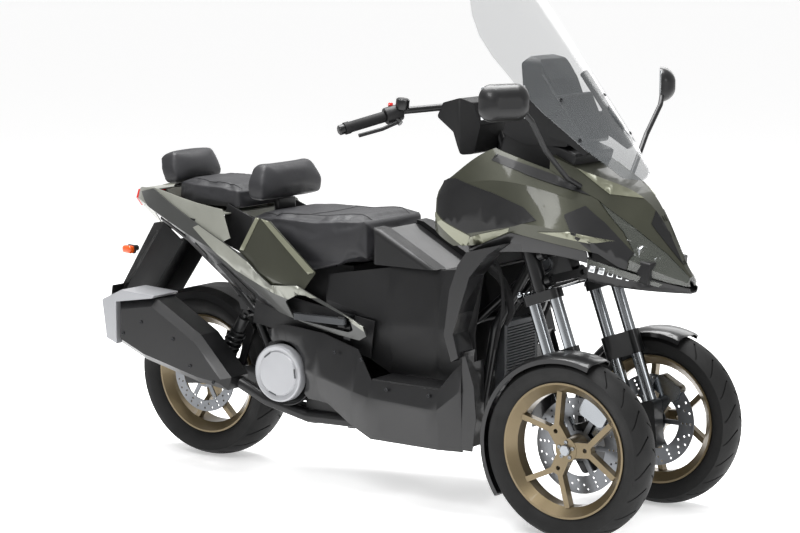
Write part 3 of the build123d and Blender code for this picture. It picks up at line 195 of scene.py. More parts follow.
# %% Metals
# champagne anodised cast alloy of the wheels
gold_alloy = finish_material("champagne_cast_alloy", "#62563f", "#6c5f47", roughness=0.34,
                             metallic=0.7, coat=0.25, grain=0.12, grain_scale=1200.0)
# black stove-enamelled steel: dark, with a soft gloss along each tube
black_steel = finish_material("black_enamelled_steel", "#0b0b0c", "#0f1011", roughness=0.34,
                              metallic=0.2, coat=0.2, grain=0.10, grain_scale=900.0)
# bead-blasted aluminium: grey and dull all over
cast_alloy = finish_material("blasted_cast_aluminium", "#3d3e40", "#484a4c", roughness=0.46,
                             metallic=0.8, grain=0.35, grain_scale=1400.0)
# hard-chromed, ground tube: a narrow bright line down its length
chrome_tube = finish_material("ground_hard_chrome", "#808386", "#8b8e91", roughness=0.18,
                              metallic=1.0)
# ground stainless steel of the brake discs
rotor_steel = finish_material("ground_stainless_rotor", "#66686b", "#737578", roughness=0.38,
                              metallic=1.0, grain=0.08, grain_scale=2200.0)
# zinc-plated screw heads
screw_steel = finish_material("zinc_plated_screw_steel", "#7c7e80", "#8a8c8e", roughness=0.30,
                              metallic=1.0)
# blackened screw heads
black_screw = finish_material("blackened_screw_steel", "#242527", "#2c2d2f", roughness=0.34,
                              metallic=0.7)
# silvered back of a mirror or of a lamp reflector: almost a perfect mirror
mirror_silver = finish_material("silvered_mirror_glass", "#c9ccce", "#cfd2d4", roughness=0.05,
                                metallic=1.0)

# %% [markdown]
# ## Plastics, rubber and the seat cover
# Moulded plastic takes the eroded grain of its mould, rubber scatters almost all its light, and
# the vinyl of the seats is embossed like leather. All of them are bumps of different strength.

# %% Plastics, rubber and vinyl
# black plastic with the grain of an eroded mould
black_plastic = finish_material("black_moulded_plastic", "#0d0d0e", "#121213", roughness=0.46,
                                grain=0.30, grain_scale=1500.0)
# tyre rubber: dull black
tyre_rubber = finish_material("vulcanised_tyre_rubber", "#0d0d0d", "#131313", roughness=0.64,
                              grain=0.4, grain_scale=1100.0)
# softer and duller rubber of the grips and hoses
grip_rubber = finish_material("soft_grip_rubber", "#0d0d0e", "#121213", roughness=0.7, grain=0.4,
                              grain_scale=1600.0)
# embossed vinyl of the seats: dark grey with a soft sheen
seat_vinyl = finish_material("grained_seat_vinyl", "#202022", "#272729", roughness=0.46,
                             grain=0.5, grain_scale=1300.0)
# polyester thread of the seams, paler than the cover
seam_thread = finish_material("grey_polyester_thread", "#4b4b4d", "#575759", roughness=0.8,
                              grain=0.5, grain_scale=2500.0)
# dark tinted glass over the instruments
display_glass = finish_material("tinted_display_glass", "#0c0d10", "#101216", roughness=0.10,
                                coat=1.0)
# red and amber acrylic lenses, shiny and deep in colour
red_acrylic = finish_material("red_moulded_acrylic", "#a3110d", "#b2180f", roughness=0.16,
                              coat=0.8)
amber_acrylic = finish_material("amber_moulded_acrylic", "#c8480c", "#d55a12", roughness=0.16,
                                coat=0.8)
# milky resin of the lamps' emitters
diode_white = finish_material("white_diode_resin", "#dcdedc", "#e8e9e6", roughness=0.25,
                              coat=0.6)

# %% [markdown]
# ## Clear mouldings
# The screen and the lamp lenses are thin clear polycarbonate. A real refracting volume would
# darken a thin shell, so the sheet is made partly see-through instead. The screen's tint is
# denser towards its foot, so its alpha follows the height.


# %% Clear polycarbonate
def clear_material(name, colour, alpha, roughness, low_alpha=None, heights=(0.0, 1.0)):
    """Thin clear moulding: tinted, glossy, mostly see-through, denser towards its foot."""
    material, tree, shader, coordinates = new_material(name)
    tint = mottle(tree, coordinates, patches_per_metre / 2, 0.0, 1.0)
    darker = tuple(c * 0.94 for c in linear(colour)[:3]) + (1.0,)
    tree.links.new(blend_colours(tree, tint, linear(colour), darker), shader.inputs["Base Color"])
    shader.inputs["Roughness"].default_value = roughness
    shader.inputs["Alpha"].default_value = alpha
    if low_alpha is not None:
        split = add_node(tree, "ShaderNodeSeparateXYZ", {"Vector": coordinates})
        fade = add_node(tree, "ShaderNodeMapRange",
                        {"Value": split.outputs["Z"], "From Min": heights[0],
                         "From Max": heights[1], "To Min": low_alpha, "To Max": alpha})
        tree.links.new(fade.outputs["Result"], shader.inputs["Alpha"])
    shader.inputs["Coat Weight"].default_value = 1.0
    shader.inputs["Coat Roughness"].default_value = 0.03
    return material


screen_clear = clear_material("smoked_polycarbonate", "#5b5e60", alpha=0.22, roughness=0.06,
                              low_alpha=0.44, heights=(1.08, 1.34))
lamp_clear = clear_material("clear_lamp_polycarbonate", "#3f423c", alpha=0.66, roughness=0.08)

# %% [markdown]
# ## Finishes of the CAD nodes
# One table says which pieces share a finish, as a paint shop's list would.

# %% Give every carried-over CAD node its material
node_materials = {
    olive_paint: ("rear_panels", "cowl_sides", "upper_cowl"),
    graphite_paint: ("fender_right", "fender_left", "side_panels", "legshield", "arch_lips",
                     "tail_lower_panels", "nose"),
    black_plastic: ("tunnel", "hugger", "storage_tub", "plate_holder", "seat_collar", "dash",
                    "bar_cover"),
    black_gloss: ("fuel_lid",),
    black_satin: ("mirrors",),
    trim_paint: ("side_trims",),
    pale_trim_and_highlight: ("tail_cowl",),
    silver_paint: ("crankcase_cover", "muffler_cap"),
    gold_alloy: ("rim_front_right", "rim_front_left", "rim_rear"),
    black_steel: ("frame", "tilt_arms", "tilt_uprights", "swingarm", "fork_right", "fork_left",
                  "handlebar", "screen_bracket", "centre_stand", "engine", "rear_shocks"),
    cast_alloy: ("radiator", "footpeg_right", "footpeg_left"),
    chrome_tube: ("fork_steel_right", "fork_steel_left", "tie_rod_right", "tie_rod_left"),
    rotor_steel: ("disc_front_right", "disc_front_left", "disc_rear"),
    tyre_rubber: ("tyre_front_right", "tyre_front_left", "tyre_rear"),
    grip_rubber: ("grips",),
    seat_vinyl: ("rider_seat", "rider_backrest", "pillion_seat", "pillion_backrest"),
    heat_black: ("muffler",),
    screen_clear: ("windscreen",),
    lamp_clear: ("lamps_front",),
    red_acrylic: ("tail_lamp",),
    amber_acrylic: ("indicators",),
}
for material, names in node_materials.items():
    for name in names:
        for slot in nodes[name].material_slots:
            slot.material = material
print(f"{sum(len(names) for names in node_materials.values())} nodes given a finish")

# %% [markdown]
# ## Working by hand, in code
# Every new piece starts as a primitive at its size and place, as in Blender's window. An operator
# acts on all that is selected, so one helper selects a single piece first. Another gives a
# finished piece to the body that carries it, with its place baked into its mesh, which keeps
# patterns on object coordinates from sliding.


# %% Selecting, applying and handing over
def nothing_selected():
    """Back in object mode with nothing selected."""
    if bpy.context.object and bpy.context.object.mode != "OBJECT":
        bpy.ops.object.mode_set(mode="OBJECT")
    bpy.ops.object.select_all(action="DESELECT")


def take(piece):
    """Select one piece alone and make it the active one."""
    nothing_selected()
    piece.select_set(True)
    bpy.context.view_layer.objects.active = piece


def bake_place(piece):
    """Move a piece's place, turn and scale into its mesh."""
    take(piece)
    bpy.ops.object.transform_apply(location=True, rotation=True, scale=True)


def copy_of(piece):
    """A copy of a piece with its own mesh."""
    twin = piece.copy()
    twin.data = piece.data.copy()
    bpy.context.collection.objects.link(twin)
    return twin


def apply_modifier(piece, kind, **settings):
    """Add a modifier with its settings and apply it."""
    take(piece)
    modifier = piece.modifiers.new(kind.lower(), kind)
    for key, value in settings.items():
        setattr(modifier, key, value)
    bpy.ops.object.modifier_apply(modifier=modifier.name)


def hand_over(piece, name, body, material, angle=35.0):
    """Name a finished piece, bake its place, give it its finish and let it ride on a body."""
    bake_place(piece)
    piece.name = name
    piece.data.materials.clear()
    piece.data.materials.append(material)
    bpy.ops.object.shade_smooth_by_angle(angle=radians(angle))
    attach(piece, body)
    print(f"{name}: {len(piece.data.polygons)} faces, rides on {body}")


def join(parts):
    """Several pieces made one."""
    take(parts[0])
    for part in parts[1:]:
        part.select_set(True)
    bpy.ops.object.join()
    return bpy.context.object


def both_sides(piece):
    """A piece joined with its mirror image across the middle plane."""
    bake_place(piece)
    twin = copy_of(piece)
    twin.scale.y = -1
    take(twin)
    bpy.ops.object.transform_apply(location=False, rotation=False, scale=True)
    bpy.ops.object.mode_set(mode="EDIT")
    bpy.ops.mesh.select_all(action="SELECT")
    bpy.ops.mesh.flip_normals()
    bpy.ops.object.mode_set(mode="OBJECT")
    return join([piece, twin])


# %% [markdown]
# ## Picking faces
# In the window a face is picked with the mouse. Here it is picked by where it points or lies, and
# then scaled, or inset and pushed, which gives rims, recesses and tapers.


# %% Picking and shaping faces
def pick_faces(piece, test):
    """Select the faces that pass a test on (centre, normal), and stay in edit mode."""
    take(piece)
    bpy.ops.object.mode_set(mode="EDIT")
    bpy.ops.mesh.select_mode(type="FACE")
    bpy.ops.mesh.select_all(action="DESELECT")
    bpy.ops.object.mode_set(mode="OBJECT")
    for face in piece.data.polygons:
        face.select = test(face.center, face.normal)
    bpy.ops.object.mode_set(mode="EDIT")


def facing(direction, share=0.9):
    """Test for faces that point along a direction."""
    return lambda _, normal: normal.dot(Vector(direction)) > share


def scale_faces(piece, direction, value):
    """Scale the faces that point along a direction, about their own middle."""
    pick_faces(piece, facing(direction))
    bpy.ops.transform.resize(value=value)
    bpy.ops.object.mode_set(mode="OBJECT")


def recess(piece, direction, rim, push):
    """Inset the faces that point along a direction by a rim, then extrude them by a push."""
    pick_faces(piece, facing(direction))
    bpy.ops.mesh.inset(thickness=rim)
    bpy.ops.mesh.extrude_region_move(TRANSFORM_OT_translate={"value": push})
    bpy.ops.object.mode_set(mode="OBJECT")


# %% [markdown]
# ## Blocks and round bars
# Most small parts begin as a box or a turned bar. No real edge is sharp, so both leave here with
# bevelled edges, which catch the light as machined and moulded edges do.


# %% Blocks and round bars with broken edges
def block(place, size, turn=(0, 0, 0), edge=0.003, steps=3):
    """Box with rounded edges at a place, turned by degrees about X, Y and Z."""
    nothing_selected()
    bpy.ops.mesh.primitive_cube_add(size=1, location=place, rotation=[radians(a) for a in turn])
    made = bpy.context.object
    made.scale = size
    bpy.ops.object.transform_apply(location=False, rotation=False, scale=True)
    bpy.ops.object.mode_set(mode="EDIT")
    bpy.ops.mesh.select_all(action="SELECT")
    bpy.ops.mesh.bevel(offset=edge, segments=steps)
    bpy.ops.object.mode_set(mode="OBJECT")
    return made


def point_along(piece, direction, axis="Z", up="Y"):
    """Turn a piece so that its axis points along a direction."""
    piece.rotation_mode = "QUATERNION"
    piece.rotation_quaternion = Vector(direction).to_track_quat(axis, up)


def round_bar(start, end, radius, edge=0.0015, facets=32, rim=None, push=0.0):
    """Round bar between two points with bevelled ends; a rim recesses or raises its far face."""
    start, end = Vector(start), Vector(end)
    nothing_selected()
    bpy.ops.mesh.primitive_cylinder_add(vertices=facets, radius=radius,
                                        depth=(end - start).length, location=(start + end) / 2)
    made = bpy.context.object
    if rim:
        recess(made, (0, 0, 1), rim, (0, 0, push))
    apply_modifier(made, "BEVEL", width=edge, segments=2, limit_method="ANGLE",
                   angle_limit=radians(40))
    point_along(made, end - start)
    return made


def stamp(master, spots, name, body, material):
    """Copies of a piece modelled at the origin along +Z, set at (place, direction), joined."""
    copies = []
    for place, direction in spots:
        one = copy_of(master)
        one.location = place
        point_along(one, direction)
        copies.append(one)
    whole = join(copies)
    whole.rotation_mode = "XYZ"
    hand_over(whole, name, body, material)


# %% [markdown]
# ## Panels that follow a shell
# Painted-highlight facets, insets and painted-shade pockets lie on the painted shells. They could
# be drawn as new surfaces, but a millimetre's error would show as a gap. So each starts as a copy
# of the shell's own mesh, cut to a side-view outline by bisecting, lifted a little and given a
# wall.

# %% Panels cut from a shell
panel_wall = 0.0015
side_lean = 0.03  # a face that leans out less than this isn't part of the flank
flank_edge = -0.002


def shell_panel(node, outline, lift=0.0004, wall=panel_wall):
    """Right-hand panel following a node's outer skin inside a convex (x, z) outline in mm."""
    panel = bpy.data.objects.new("panel", nodes[node].data.copy())
    bpy.context.collection.objects.link(panel)
    corners = [Vector((x / 1000, 0, z / 1000)) for x, z in outline]
    middle = sum(corners, Vector()) / len(corners)
    take(panel)
    bpy.ops.object.mode_set(mode="EDIT")
    bpy.ops.mesh.select_all(action="SELECT")
    bpy.ops.mesh.remove_doubles(threshold=0.00001)
    for start, end in zip(corners, corners[1:] + corners[:1]):
        normal = (end - start).cross(Vector((0, 1, 0)))
        if normal.dot(middle - start) > 0:
            normal = -normal
        bpy.ops.mesh.select_all(action="SELECT")
        bpy.ops.mesh.bisect(plane_co=start, plane_no=normal, clear_outer=True)
    bpy.ops.mesh.select_all(action="DESELECT")
    bpy.ops.object.mode_set(mode="OBJECT")
    pick_faces(panel, lambda centre, normal: centre.y > flank_edge or normal.y > -side_lean)
    bpy.ops.mesh.delete(type="FACE")
    bpy.ops.mesh.select_all(action="SELECT")
    bpy.ops.transform.shrink_fatten(value=lift)
    bpy.ops.object.mode_set(mode="OBJECT")
    apply_modifier(panel, "SOLIDIFY", thickness=wall, offset=1.0)
    return panel


def shell_panels(node, outlines, name, slot, material, **settings):
    """Several panels on one shell, mirrored to both sides, as one piece on the chassis."""
    panels = [shell_panel(node, outline, **settings) for outline in outlines]
    hand_over(both_sides(join(panels)), name, "chassis", material, 55)


# %% [markdown]
# ## Facets of the front cowl
# The cowl's flanks carry a dark inset with paler olive facets round it, a painted highlight, and
# black strips above and below. The brow over the lamps is black with a painted highlight line
# over it. Each outline is a polygon in side view, in millimetres from the frame's origin.

# %% Facets of the front cowl
shell_panels("cowl_sides", (
    ((402, 1046), (470, 1052), (582, 1012), (665, 988), (735, 938), (650, 920), (538, 889),
     (506, 883), (392, 945), (388, 988)),), "cowl_insets", "black_plastic", black_plastic)
# paler olive facets round the cowl's inset: a painted highlight
shell_panels("cowl_sides", (
    ((372, 938), (383, 944), (505, 880), (484, 838)),
    ((505, 880), (536, 888), (640, 923), (632, 902), (535, 858), (484, 838)),
    ((641, 923), (747, 933), (935, 886), (890, 880), (735, 908), (633, 902))),
    "cowl_highlight_facets", "green_paint", olive_painted_highlight)
shell_panels("cowl_sides", (
    ((560, 1128), (700, 1084), (880, 1020), (874, 1004), (690, 1062), (556, 1108)),
    ((845, 985), (905, 935), (984, 850), (984, 801), (930, 805), (840, 900), (800, 960))),
    "cowl_black_strips", "black_plastic", black_satin)
# a paler olive line on the upper cowl over the brow: a painted highlight
shell_panels("upper_cowl", (
    ((752, 1112), (790, 1112), (1000, 998), (888, 1016)),), "upper_highlight_facets", "green_paint",
    olive_painted_highlight)
shell_panels("upper_cowl", (
    ((1000, 990), (1030, 962), (1120, 800), (1106, 790), (1000, 930)),), "brow_panels",
    "black_plastic", black_gloss)

# %% [markdown]
# ## Facets, pockets and bands of the tail
# Beside the seat, paler olive edges run along the olive panels as a painted highlight. Behind it
# the grab rail's recesses are dark patches of painted shade, a pale band of painted highlight
# follows the side trims and two dark slots lie on the lower tail.

# %% Facets, pockets and bands of the tail
# paler olive edges along the panels beside the seat: a painted highlight
shell_panels("rear_panels", (
    ((-422, 756), (-360, 874), (-346, 870), (-405, 752)),
    ((-355, 874), (-322, 866), (-114, 710), (-135, 700))), "rear_highlight_facets", "green_paint",
    olive_painted_highlight)
# dark patches on the tail cowl where the grab rail is recessed: painted shade
shell_panels("tail_cowl", (
    ((-770, 845), (-639, 838), (-666, 774), (-726, 801)),
    ((-622, 800), (-562, 778), (-560, 756), (-616, 764))), "rail_pocket_shade", "black_plastic",
    black_plastic)
# pale grey bands along the side trims' upper edges: a painted highlight
shell_panels("side_trims", (
    ((-640, 812), (-600, 826), (-262, 668), (-278, 628), (-440, 690)),
    ((-266, 668), (-160, 680), (-154, 632), (-190, 610), (-278, 628)),
    ((-162, 680), (-84, 690), (-58, 632), (-154, 630)),
    ((-88, 690), (52, 612), (40, 580), (-62, 630)),
    ((48, 614), (140, 552), (100, 540), (36, 576))), "trim_highlight_bands", "silver_paint", pale_trim_and_highlight,
    lift=0.0012)
shell_panels("tail_lower_panels", (
    ((-660, 750), (-640, 760), (-596, 722), (-604, 706)),
    ((-548, 694), (-520, 702), (-388, 606), (-396, 592), (-456, 606))), "trim_slots",
    "black_plastic", black_plastic)

# %% [markdown]
# ## Tyres
# A tyre's tread could be a bump of its rubber, but real grooves notch the outline too. So a cross
# section is spun round the axle, every few columns of the crown are picked and pushed in as
# grooves, and the crown is twisted a little towards its shoulders, so that the grooves lean as
# they do on a road tyre.


# %% Cross section of a tyre
def arc(start, through, end, steps):
    """Points along the circle through three (radius, offset) points, the last one left out."""
    (ax, ay), (bx, by), (cx, cy) = start, through, end
    a2, b2, c2 = ax**2 + ay**2, bx**2 + by**2, cx**2 + cy**2
    double_area = 2 * (ax * (by - cy) + bx * (cy - ay) + cx * (ay - by))
    ux = (a2 * (by - cy) + b2 * (cy - ay) + c2 * (ay - by)) / double_area
    uy = (a2 * (cx - bx) + b2 * (ax - cx) + c2 * (bx - ax)) / double_area
    first, middle, last = (atan2(y - uy, x - ux) for x, y in (start, through, end))
    sweep = (last - first) % (2 * pi)
    if (middle - first) % (2 * pi) > sweep:
        sweep -= 2 * pi
    size = hypot(ax - ux, ay - uy)
    turns = [first + sweep * i / steps for i in range(steps)]
    return [(ux + size * cos(turn), uy + size * sin(turn)) for turn in turns]


def tyre_section(radius, width, bead):
    """Closed (radius, offset) outline: the seat between the beads, two flanks and the crown."""
    seat_radius, bead_radius, flank_radius = 0.1903, 0.205, 0.228
    bead_lip = flank_inset = 0.004
    half = width / 2
    foot = (bead_radius, bead + bead_lip)
    shoulder = (radius - 0.024, half - 0.001)
    section = [(seat_radius, share * bead) for share in (-1, -1 / 3, 1 / 3, 1)]
    section += arc(foot, (flank_radius, half - flank_inset), shoulder, 6)
    section += arc(shoulder, (radius, 0), (shoulder[0], -shoulder[1]), 22)
    section += arc((shoulder[0], -shoulder[1]), (flank_radius, flank_inset - half),
                   (foot[0], -foot[1]), 6)
    section.append((foot[0], -foot[1]))
    return section


# %% Tyres with leaning grooves
columns_per_groove = 10
groove_rim, groove_depth = 0.0004, 0.0045
crown_height = 0.022  # how far below the outer radius the crown reaches
groove_from, groove_to = 0.14, 0.93  # shares of the half width
shoulder_lean = 0.24


def treaded_tyre(node, body, centre, radius, width, bead, grooves=22):
    """Tyre of the CAD one's section, with grooves in its crown."""
    half = width / 2
    section = tyre_section(radius, width, bead)
    nothing_selected()
    bpy.ops.mesh.primitive_circle_add(vertices=len(section), radius=radius, location=centre)
    ring = bpy.context.object
    for vertex, (out, across) in zip(ring.data.vertices, section):
        vertex.co = (0, across, out)
    bpy.ops.object.transform_apply(location=True, rotation=False, scale=False)
    bpy.ops.object.mode_set(mode="EDIT")
    bpy.ops.mesh.select_all(action="SELECT")
    columns = grooves * columns_per_groove
    bpy.ops.mesh.spin(steps=columns, angle=2 * pi, center=centre, axis=(0, 1, 0))
    bpy.ops.mesh.select_all(action="SELECT")
    bpy.ops.mesh.remove_doubles(threshold=0.0001)
    bpy.ops.mesh.normals_make_consistent(inside=False)
    bpy.ops.object.mode_set(mode="OBJECT")
    axle = Vector(centre)

    def grooved(point, _):
        at = point - axle
        column = int((atan2(at.x, at.z) % (2 * pi)) / (2 * pi) * columns + 0.001)
        stagger = 0 if at.y > 0 else columns_per_groove // 2
        on_crown = hypot(at.x, at.z) > radius - crown_height
        on_turn = (column + stagger) % columns_per_groove == 0
        return on_crown and on_turn and groove_from < abs(at.y) / half < groove_to

    pick_faces(ring, grooved)
    bpy.ops.mesh.inset(thickness=groove_rim)
    bpy.ops.mesh.extrude_region_shrink_fatten(
        TRANSFORM_OT_shrink_fatten={"value": -groove_depth})
    bpy.ops.object.mode_set(mode="OBJECT")
    for vertex in ring.data.vertices:
        at = vertex.co - axle
        rise = min(1, max(0, (hypot(at.x, at.z) - 0.2) / 0.06))
        lean = shoulder_lean * (abs(at.y) / half) ** 1.6 * rise
        x, z = at.x * cos(lean) + at.z * sin(lean), at.z * cos(lean) - at.x * sin(lean)
        vertex.co = axle + Vector((x, at.y, z))
    hand_over(ring, node + "_treaded", body, tyre_rubber, 32)
    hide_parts(node)


def node_radius(node):
    """Half the height of a node's box."""
    low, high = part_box(node)
    return (high.z - low.z) / 2


front_axle_x, front_track, rear_axle_x = 0.865, 0.273, -0.715
front_radius, rear_radius = node_radius("tyre_front_right"), node_radius("tyre_rear")
for side, name in sides:
    treaded_tyre(f"tyre_front_{name}", f"wheel_front_{name}",
                 (front_axle_x, side * front_track, front_radius), front_radius, width=0.120,
                 bead=0.0365)
treaded_tyre("tyre_rear", "wheel_rear", (rear_axle_x, 0, rear_radius), rear_radius, width=0.160,
             bead=0.0505)

# %% [markdown]
# ## Seats
# A real seat is a foam block under a stretched cover. The pads start from the solids that hold
# their place: remeshing gives them an even net of points, and a few frames of cloth under
# pressure let it swell as foam pushes a cover out. The points below a height stay where the
# cover is stapled to its base, and no point moves further than a cap.

# %% Stuffed pads
net_size = 0.006
cloth_frames = 14
foam_pressure = 4.0


def swell(pad, floor_z):
    """Where the points of a pad settle as cloth under pressure, pinned below a height."""
    pins = pad.vertex_groups.new(name="base")
    pins.add([v.index for v in pad.data.vertices if v.co.z <= floor_z], 1.0, "REPLACE")
    cloth = pad.modifiers.new("cover", "CLOTH")
    cloth.settings.use_pressure = True
    cloth.settings.uniform_pressure_force = foam_pressure
    cloth.settings.vertex_group_mass = "base"
    cloth.settings.effector_weights.gravity = 0.0
    scene = bpy.context.scene
    for number in range(1, cloth_frames + 1):
        scene.frame_set(number)
    settled = pad.evaluated_get(bpy.context.evaluated_depsgraph_get()).to_mesh()
    places = [vertex.co.copy() for vertex in settled.vertices]
    pad.modifiers.remove(cloth)
    scene.frame_set(1)
    return places


def stuffed(node, name, shrink, cap, floor_z, calm=6):
    """Pad grown from a node's solid, and the node's other parts; calm evens out its creases."""
    pad = bpy.data.objects.new(name, nodes[node].data.copy())
    bpy.context.collection.objects.link(pad)
    take(pad)
    bpy.ops.object.mode_set(mode="EDIT")
    bpy.ops.mesh.select_all(action="SELECT")
    bpy.ops.mesh.remove_doubles(threshold=0.00001)
    bpy.ops.mesh.separate(type="LOOSE")
    bpy.ops.object.mode_set(mode="OBJECT")
    pad, *others = sorted(bpy.context.selected_objects, key=lambda part: -max(part.dimensions))
    apply_modifier(pad, "REMESH", mode="VOXEL", voxel_size=net_size)
    apply_modifier(pad, "SMOOTH", factor=0.6, iterations=10)
    homes = [vertex.co.copy() for vertex in pad.data.vertices]
    normals = [vertex.normal.copy() for vertex in pad.data.vertices]
    for vertex, normal in zip(pad.data.vertices, normals):
        if vertex.co.z > floor_z:
            vertex.co -= normal * shrink
    places = swell(pad, floor_z)
    for vertex, home, swollen in zip(pad.data.vertices, homes, places):
        move = swollen - home
        if move.length > cap:
            move *= cap / move.length
        vertex.co = home + move
    apply_modifier(pad, "SMOOTH", factor=0.5, iterations=calm)
    return pad, others


def cover(pad, node, name, body):
    """Hand over a pad in vinyl, in place of its node."""
    hand_over(pad, name, body, seat_vinyl, 60)
    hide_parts(node)


def mounts(parts, name, body):
    """Hand over the steel parts that came with a pad, with broken edges."""
    for part in parts:
        apply_modifier(part, "BEVEL", width=0.003, segments=2)
        hand_over(part, name, body, black_steel)


def taper(pad, low, high, share):
    """Draw a pad in towards its top, evenly between two heights."""
    for vertex in pad.data.vertices:
        rise = min(1.0, max(0.0, (vertex.co.z - low) / (high - low)))
        vertex.co.y *= 1.0 - (1.0 - share) * rise


# %% [markdown]
# ## Seams
# Two panels of a cover meet in a piped seam with a row of stitches beside it. The route is drawn
# from above, dropped onto the pad, and swept with a thin round section as a curve's bevel. One
# stitch is modelled and copied along it.


# %% Seams, stitches and hoses
def tube(name, kind, points, radius, smoothness):
    """Mesh of a round tube along points: a POLY line or a BEZIER curve."""
    line = bpy.data.curves.new(name, "CURVE")
    line.dimensions = "3D"
    line.bevel_depth = radius
    line.bevel_resolution = smoothness
    line.use_fill_caps = True
    spline = line.splines.new(kind)
    if kind == "POLY":
        spline.points.add(len(points) - 1)
        for knot, point in zip(spline.points, points):
            knot.co = (*point, 1)
    else:
        spline.bezier_points.add(len(points) - 1)
        for knot, point in zip(spline.bezier_points, points):
            knot.co = point
            knot.handle_left_type = knot.handle_right_type = "AUTO"
    pipe = bpy.data.objects.new(name, line)
    bpy.context.collection.objects.link(pipe)
    take(pipe)
    bpy.ops.object.convert(target="MESH")
    return bpy.context.object


above_seats = 1.4
stitch_pitch = 0.006
stitch_size = (0.0042, 0.0011, 0.0011)
stitch_offset, stitch_lift = 0.0052, 0.0001
piping_radius, piping_lift = 0.0016, 0.0004


def seam(pad, route, name):
    """Piped seam laid on a pad of the saddle along (x, y) points in mm, with stitches."""
    route = [Vector((x / 1000, y / 1000)) for x, y in route]
    points = []
    for start, end in zip(route, route[1:]):
        count = max(2, int((end - start).length / stitch_pitch))
        points += [start.lerp(end, i / count) for i in range(count)]
    points.append(route[-1])
    laid = []
    for spot in points:
        hit, place, normal, _ = pad.ray_cast(Vector((*spot, above_seats)), Vector((0, 0, -1)))
        if hit:
            laid.append((place + normal * piping_lift, normal))
    piping = tube(name, "POLY", [place for place, _ in laid], piping_radius, 2)
    hand_over(piping, name, "saddle", seat_vinyl)
    thread = block((0, 0, 0), stitch_size, edge=0.0003, steps=1)
    stitches = []
    for (before, _), (place, normal) in zip(laid, laid[1:]):
        along = (place - before).normalized()
        one = copy_of(thread)
        one.location = place + normal.cross(along) * stitch_offset + normal * stitch_lift
        point_along(one, along, "X", "Z")
        stitches.append(one)
    bpy.data.objects.remove(thread)
    sewn = join(stitches)
    sewn.rotation_mode = "XYZ"
    hand_over(sewn, name + "_stitches", "saddle", seam_thread)


# %% [markdown]
# ## Rider's seat
# A broad cushion with two long seams and one across, and a lumbar pad on a steel bracket. The pad
# narrows towards its top.

# %% Rider's seat and backrest
rider, _ = stuffed("rider_seat", "rider_cushion", shrink=0.006, cap=0.010, floor_z=0.735)
cover(rider, "rider_seat", "rider_cushion", "saddle")
for side, name in sides:
    seam(rider, ((-425, side * 128), (-300, side * 142), (-150, side * 132), (-60, side * 118),
                 (20, side * 104)), f"rider_seam_{name}")
seam(rider, ((-205, -132), (-195, -60), (-192, 0), (-195, 60), (-205, 132)), "rider_seam_cross")

lumbar, lumbar_parts = stuffed("rider_backrest", "rider_back_pad", shrink=0.004, cap=0.007,
                               floor_z=0.905, calm=24)
taper(lumbar, low=0.905, high=1.034, share=0.80)
cover(lumbar, "rider_backrest", "rider_back_pad", "saddle")
mounts(lumbar_parts, "rider_back_bracket", "saddle")

# %% [markdown]
# ## Pillion's seat
# The pillion's cushion is shorter and is drawn in towards the tail. Its backrest stands on the
# tail on a stem, and is stretched from its top edge to the height and width of the real pad.

# %% Pillion's seat and backrest
pillion, _ = stuffed("pillion_seat", "pillion_cushion", shrink=0.005, cap=0.009, floor_z=0.884)
cover(pillion, "pillion_seat", "pillion_cushion", "saddle")
for side, name in sides:
    seam(pillion, ((-500, side * 118), (-640, side * 112), (-745, side * 84)),
         f"pillion_seam_{name}")

back_top, back_height, back_width = 1.043, 1.28, 1.06
back, back_parts = stuffed("pillion_backrest", "pillion_back_pad", shrink=0.001, cap=0.006,
                           floor_z=0.9, calm=24)
taper(back, low=0.950, high=1.046, share=0.92)
for vertex in back.data.vertices:
    vertex.co.z = back_top - back_height * (back_top - vertex.co.z)
    vertex.co.y *= back_width
cover(back, "pillion_backrest", "pillion_back_pad", "chassis")
mounts(back_parts, "pillion_back_stem", "chassis")

# %% [markdown]
# ## Screws
# One socket screw is modelled at the origin: a bevelled head with a sunk socket. Copies go
# wherever a panel or a casting is fastened. The screen is curved, so its screws are dropped onto
# it with a ray, which also gives the direction that they face.

# %% Screws of the panels, the silencer and the screen
screw = round_bar((0, 0, -0.001), (0, 0, 0.003), 0.0058, edge=0.0008, facets=20, rim=0.0026,
                  push=-0.002)
bake_place(screw)
right_out = (0, -1, 0)
muffler_spots = [((x / 1000, -0.3005, z / 1000), right_out) for x, z in (
    (-791, 491), (-652, 448), (-872, 446), (-580, 366), (-480, 322))]
stamp(screw, muffler_spots, "muffler_screws", "chassis", black_screw)

panel_spots = [((x, -y, z), right_out) for x, y, z in (
    (-0.02, 0.2525, 0.466), (0.09, 0.262, 0.455), (0.2, 0.278, 0.375), (0.36, 0.28, 0.375))]
panel_spots += [((x, -y, z), (0, 1, 0)) for (x, y, z), _ in panel_spots]
stamp(screw, panel_spots, "panel_screws", "chassis", black_screw)

screen_spots = []
for across, height in ((0.150, 1.175), (0.128, 1.290)):
    for side, _ in sides:
        hit, place, normal, _ = nodes["windscreen"].ray_cast(
            Vector((1.3, side * across, height)), Vector((-1, 0, 0)))
        if hit:
            screen_spots.append((place, normal))
stamp(screw, screen_spots, "screen_screws", "chassis", black_screw)

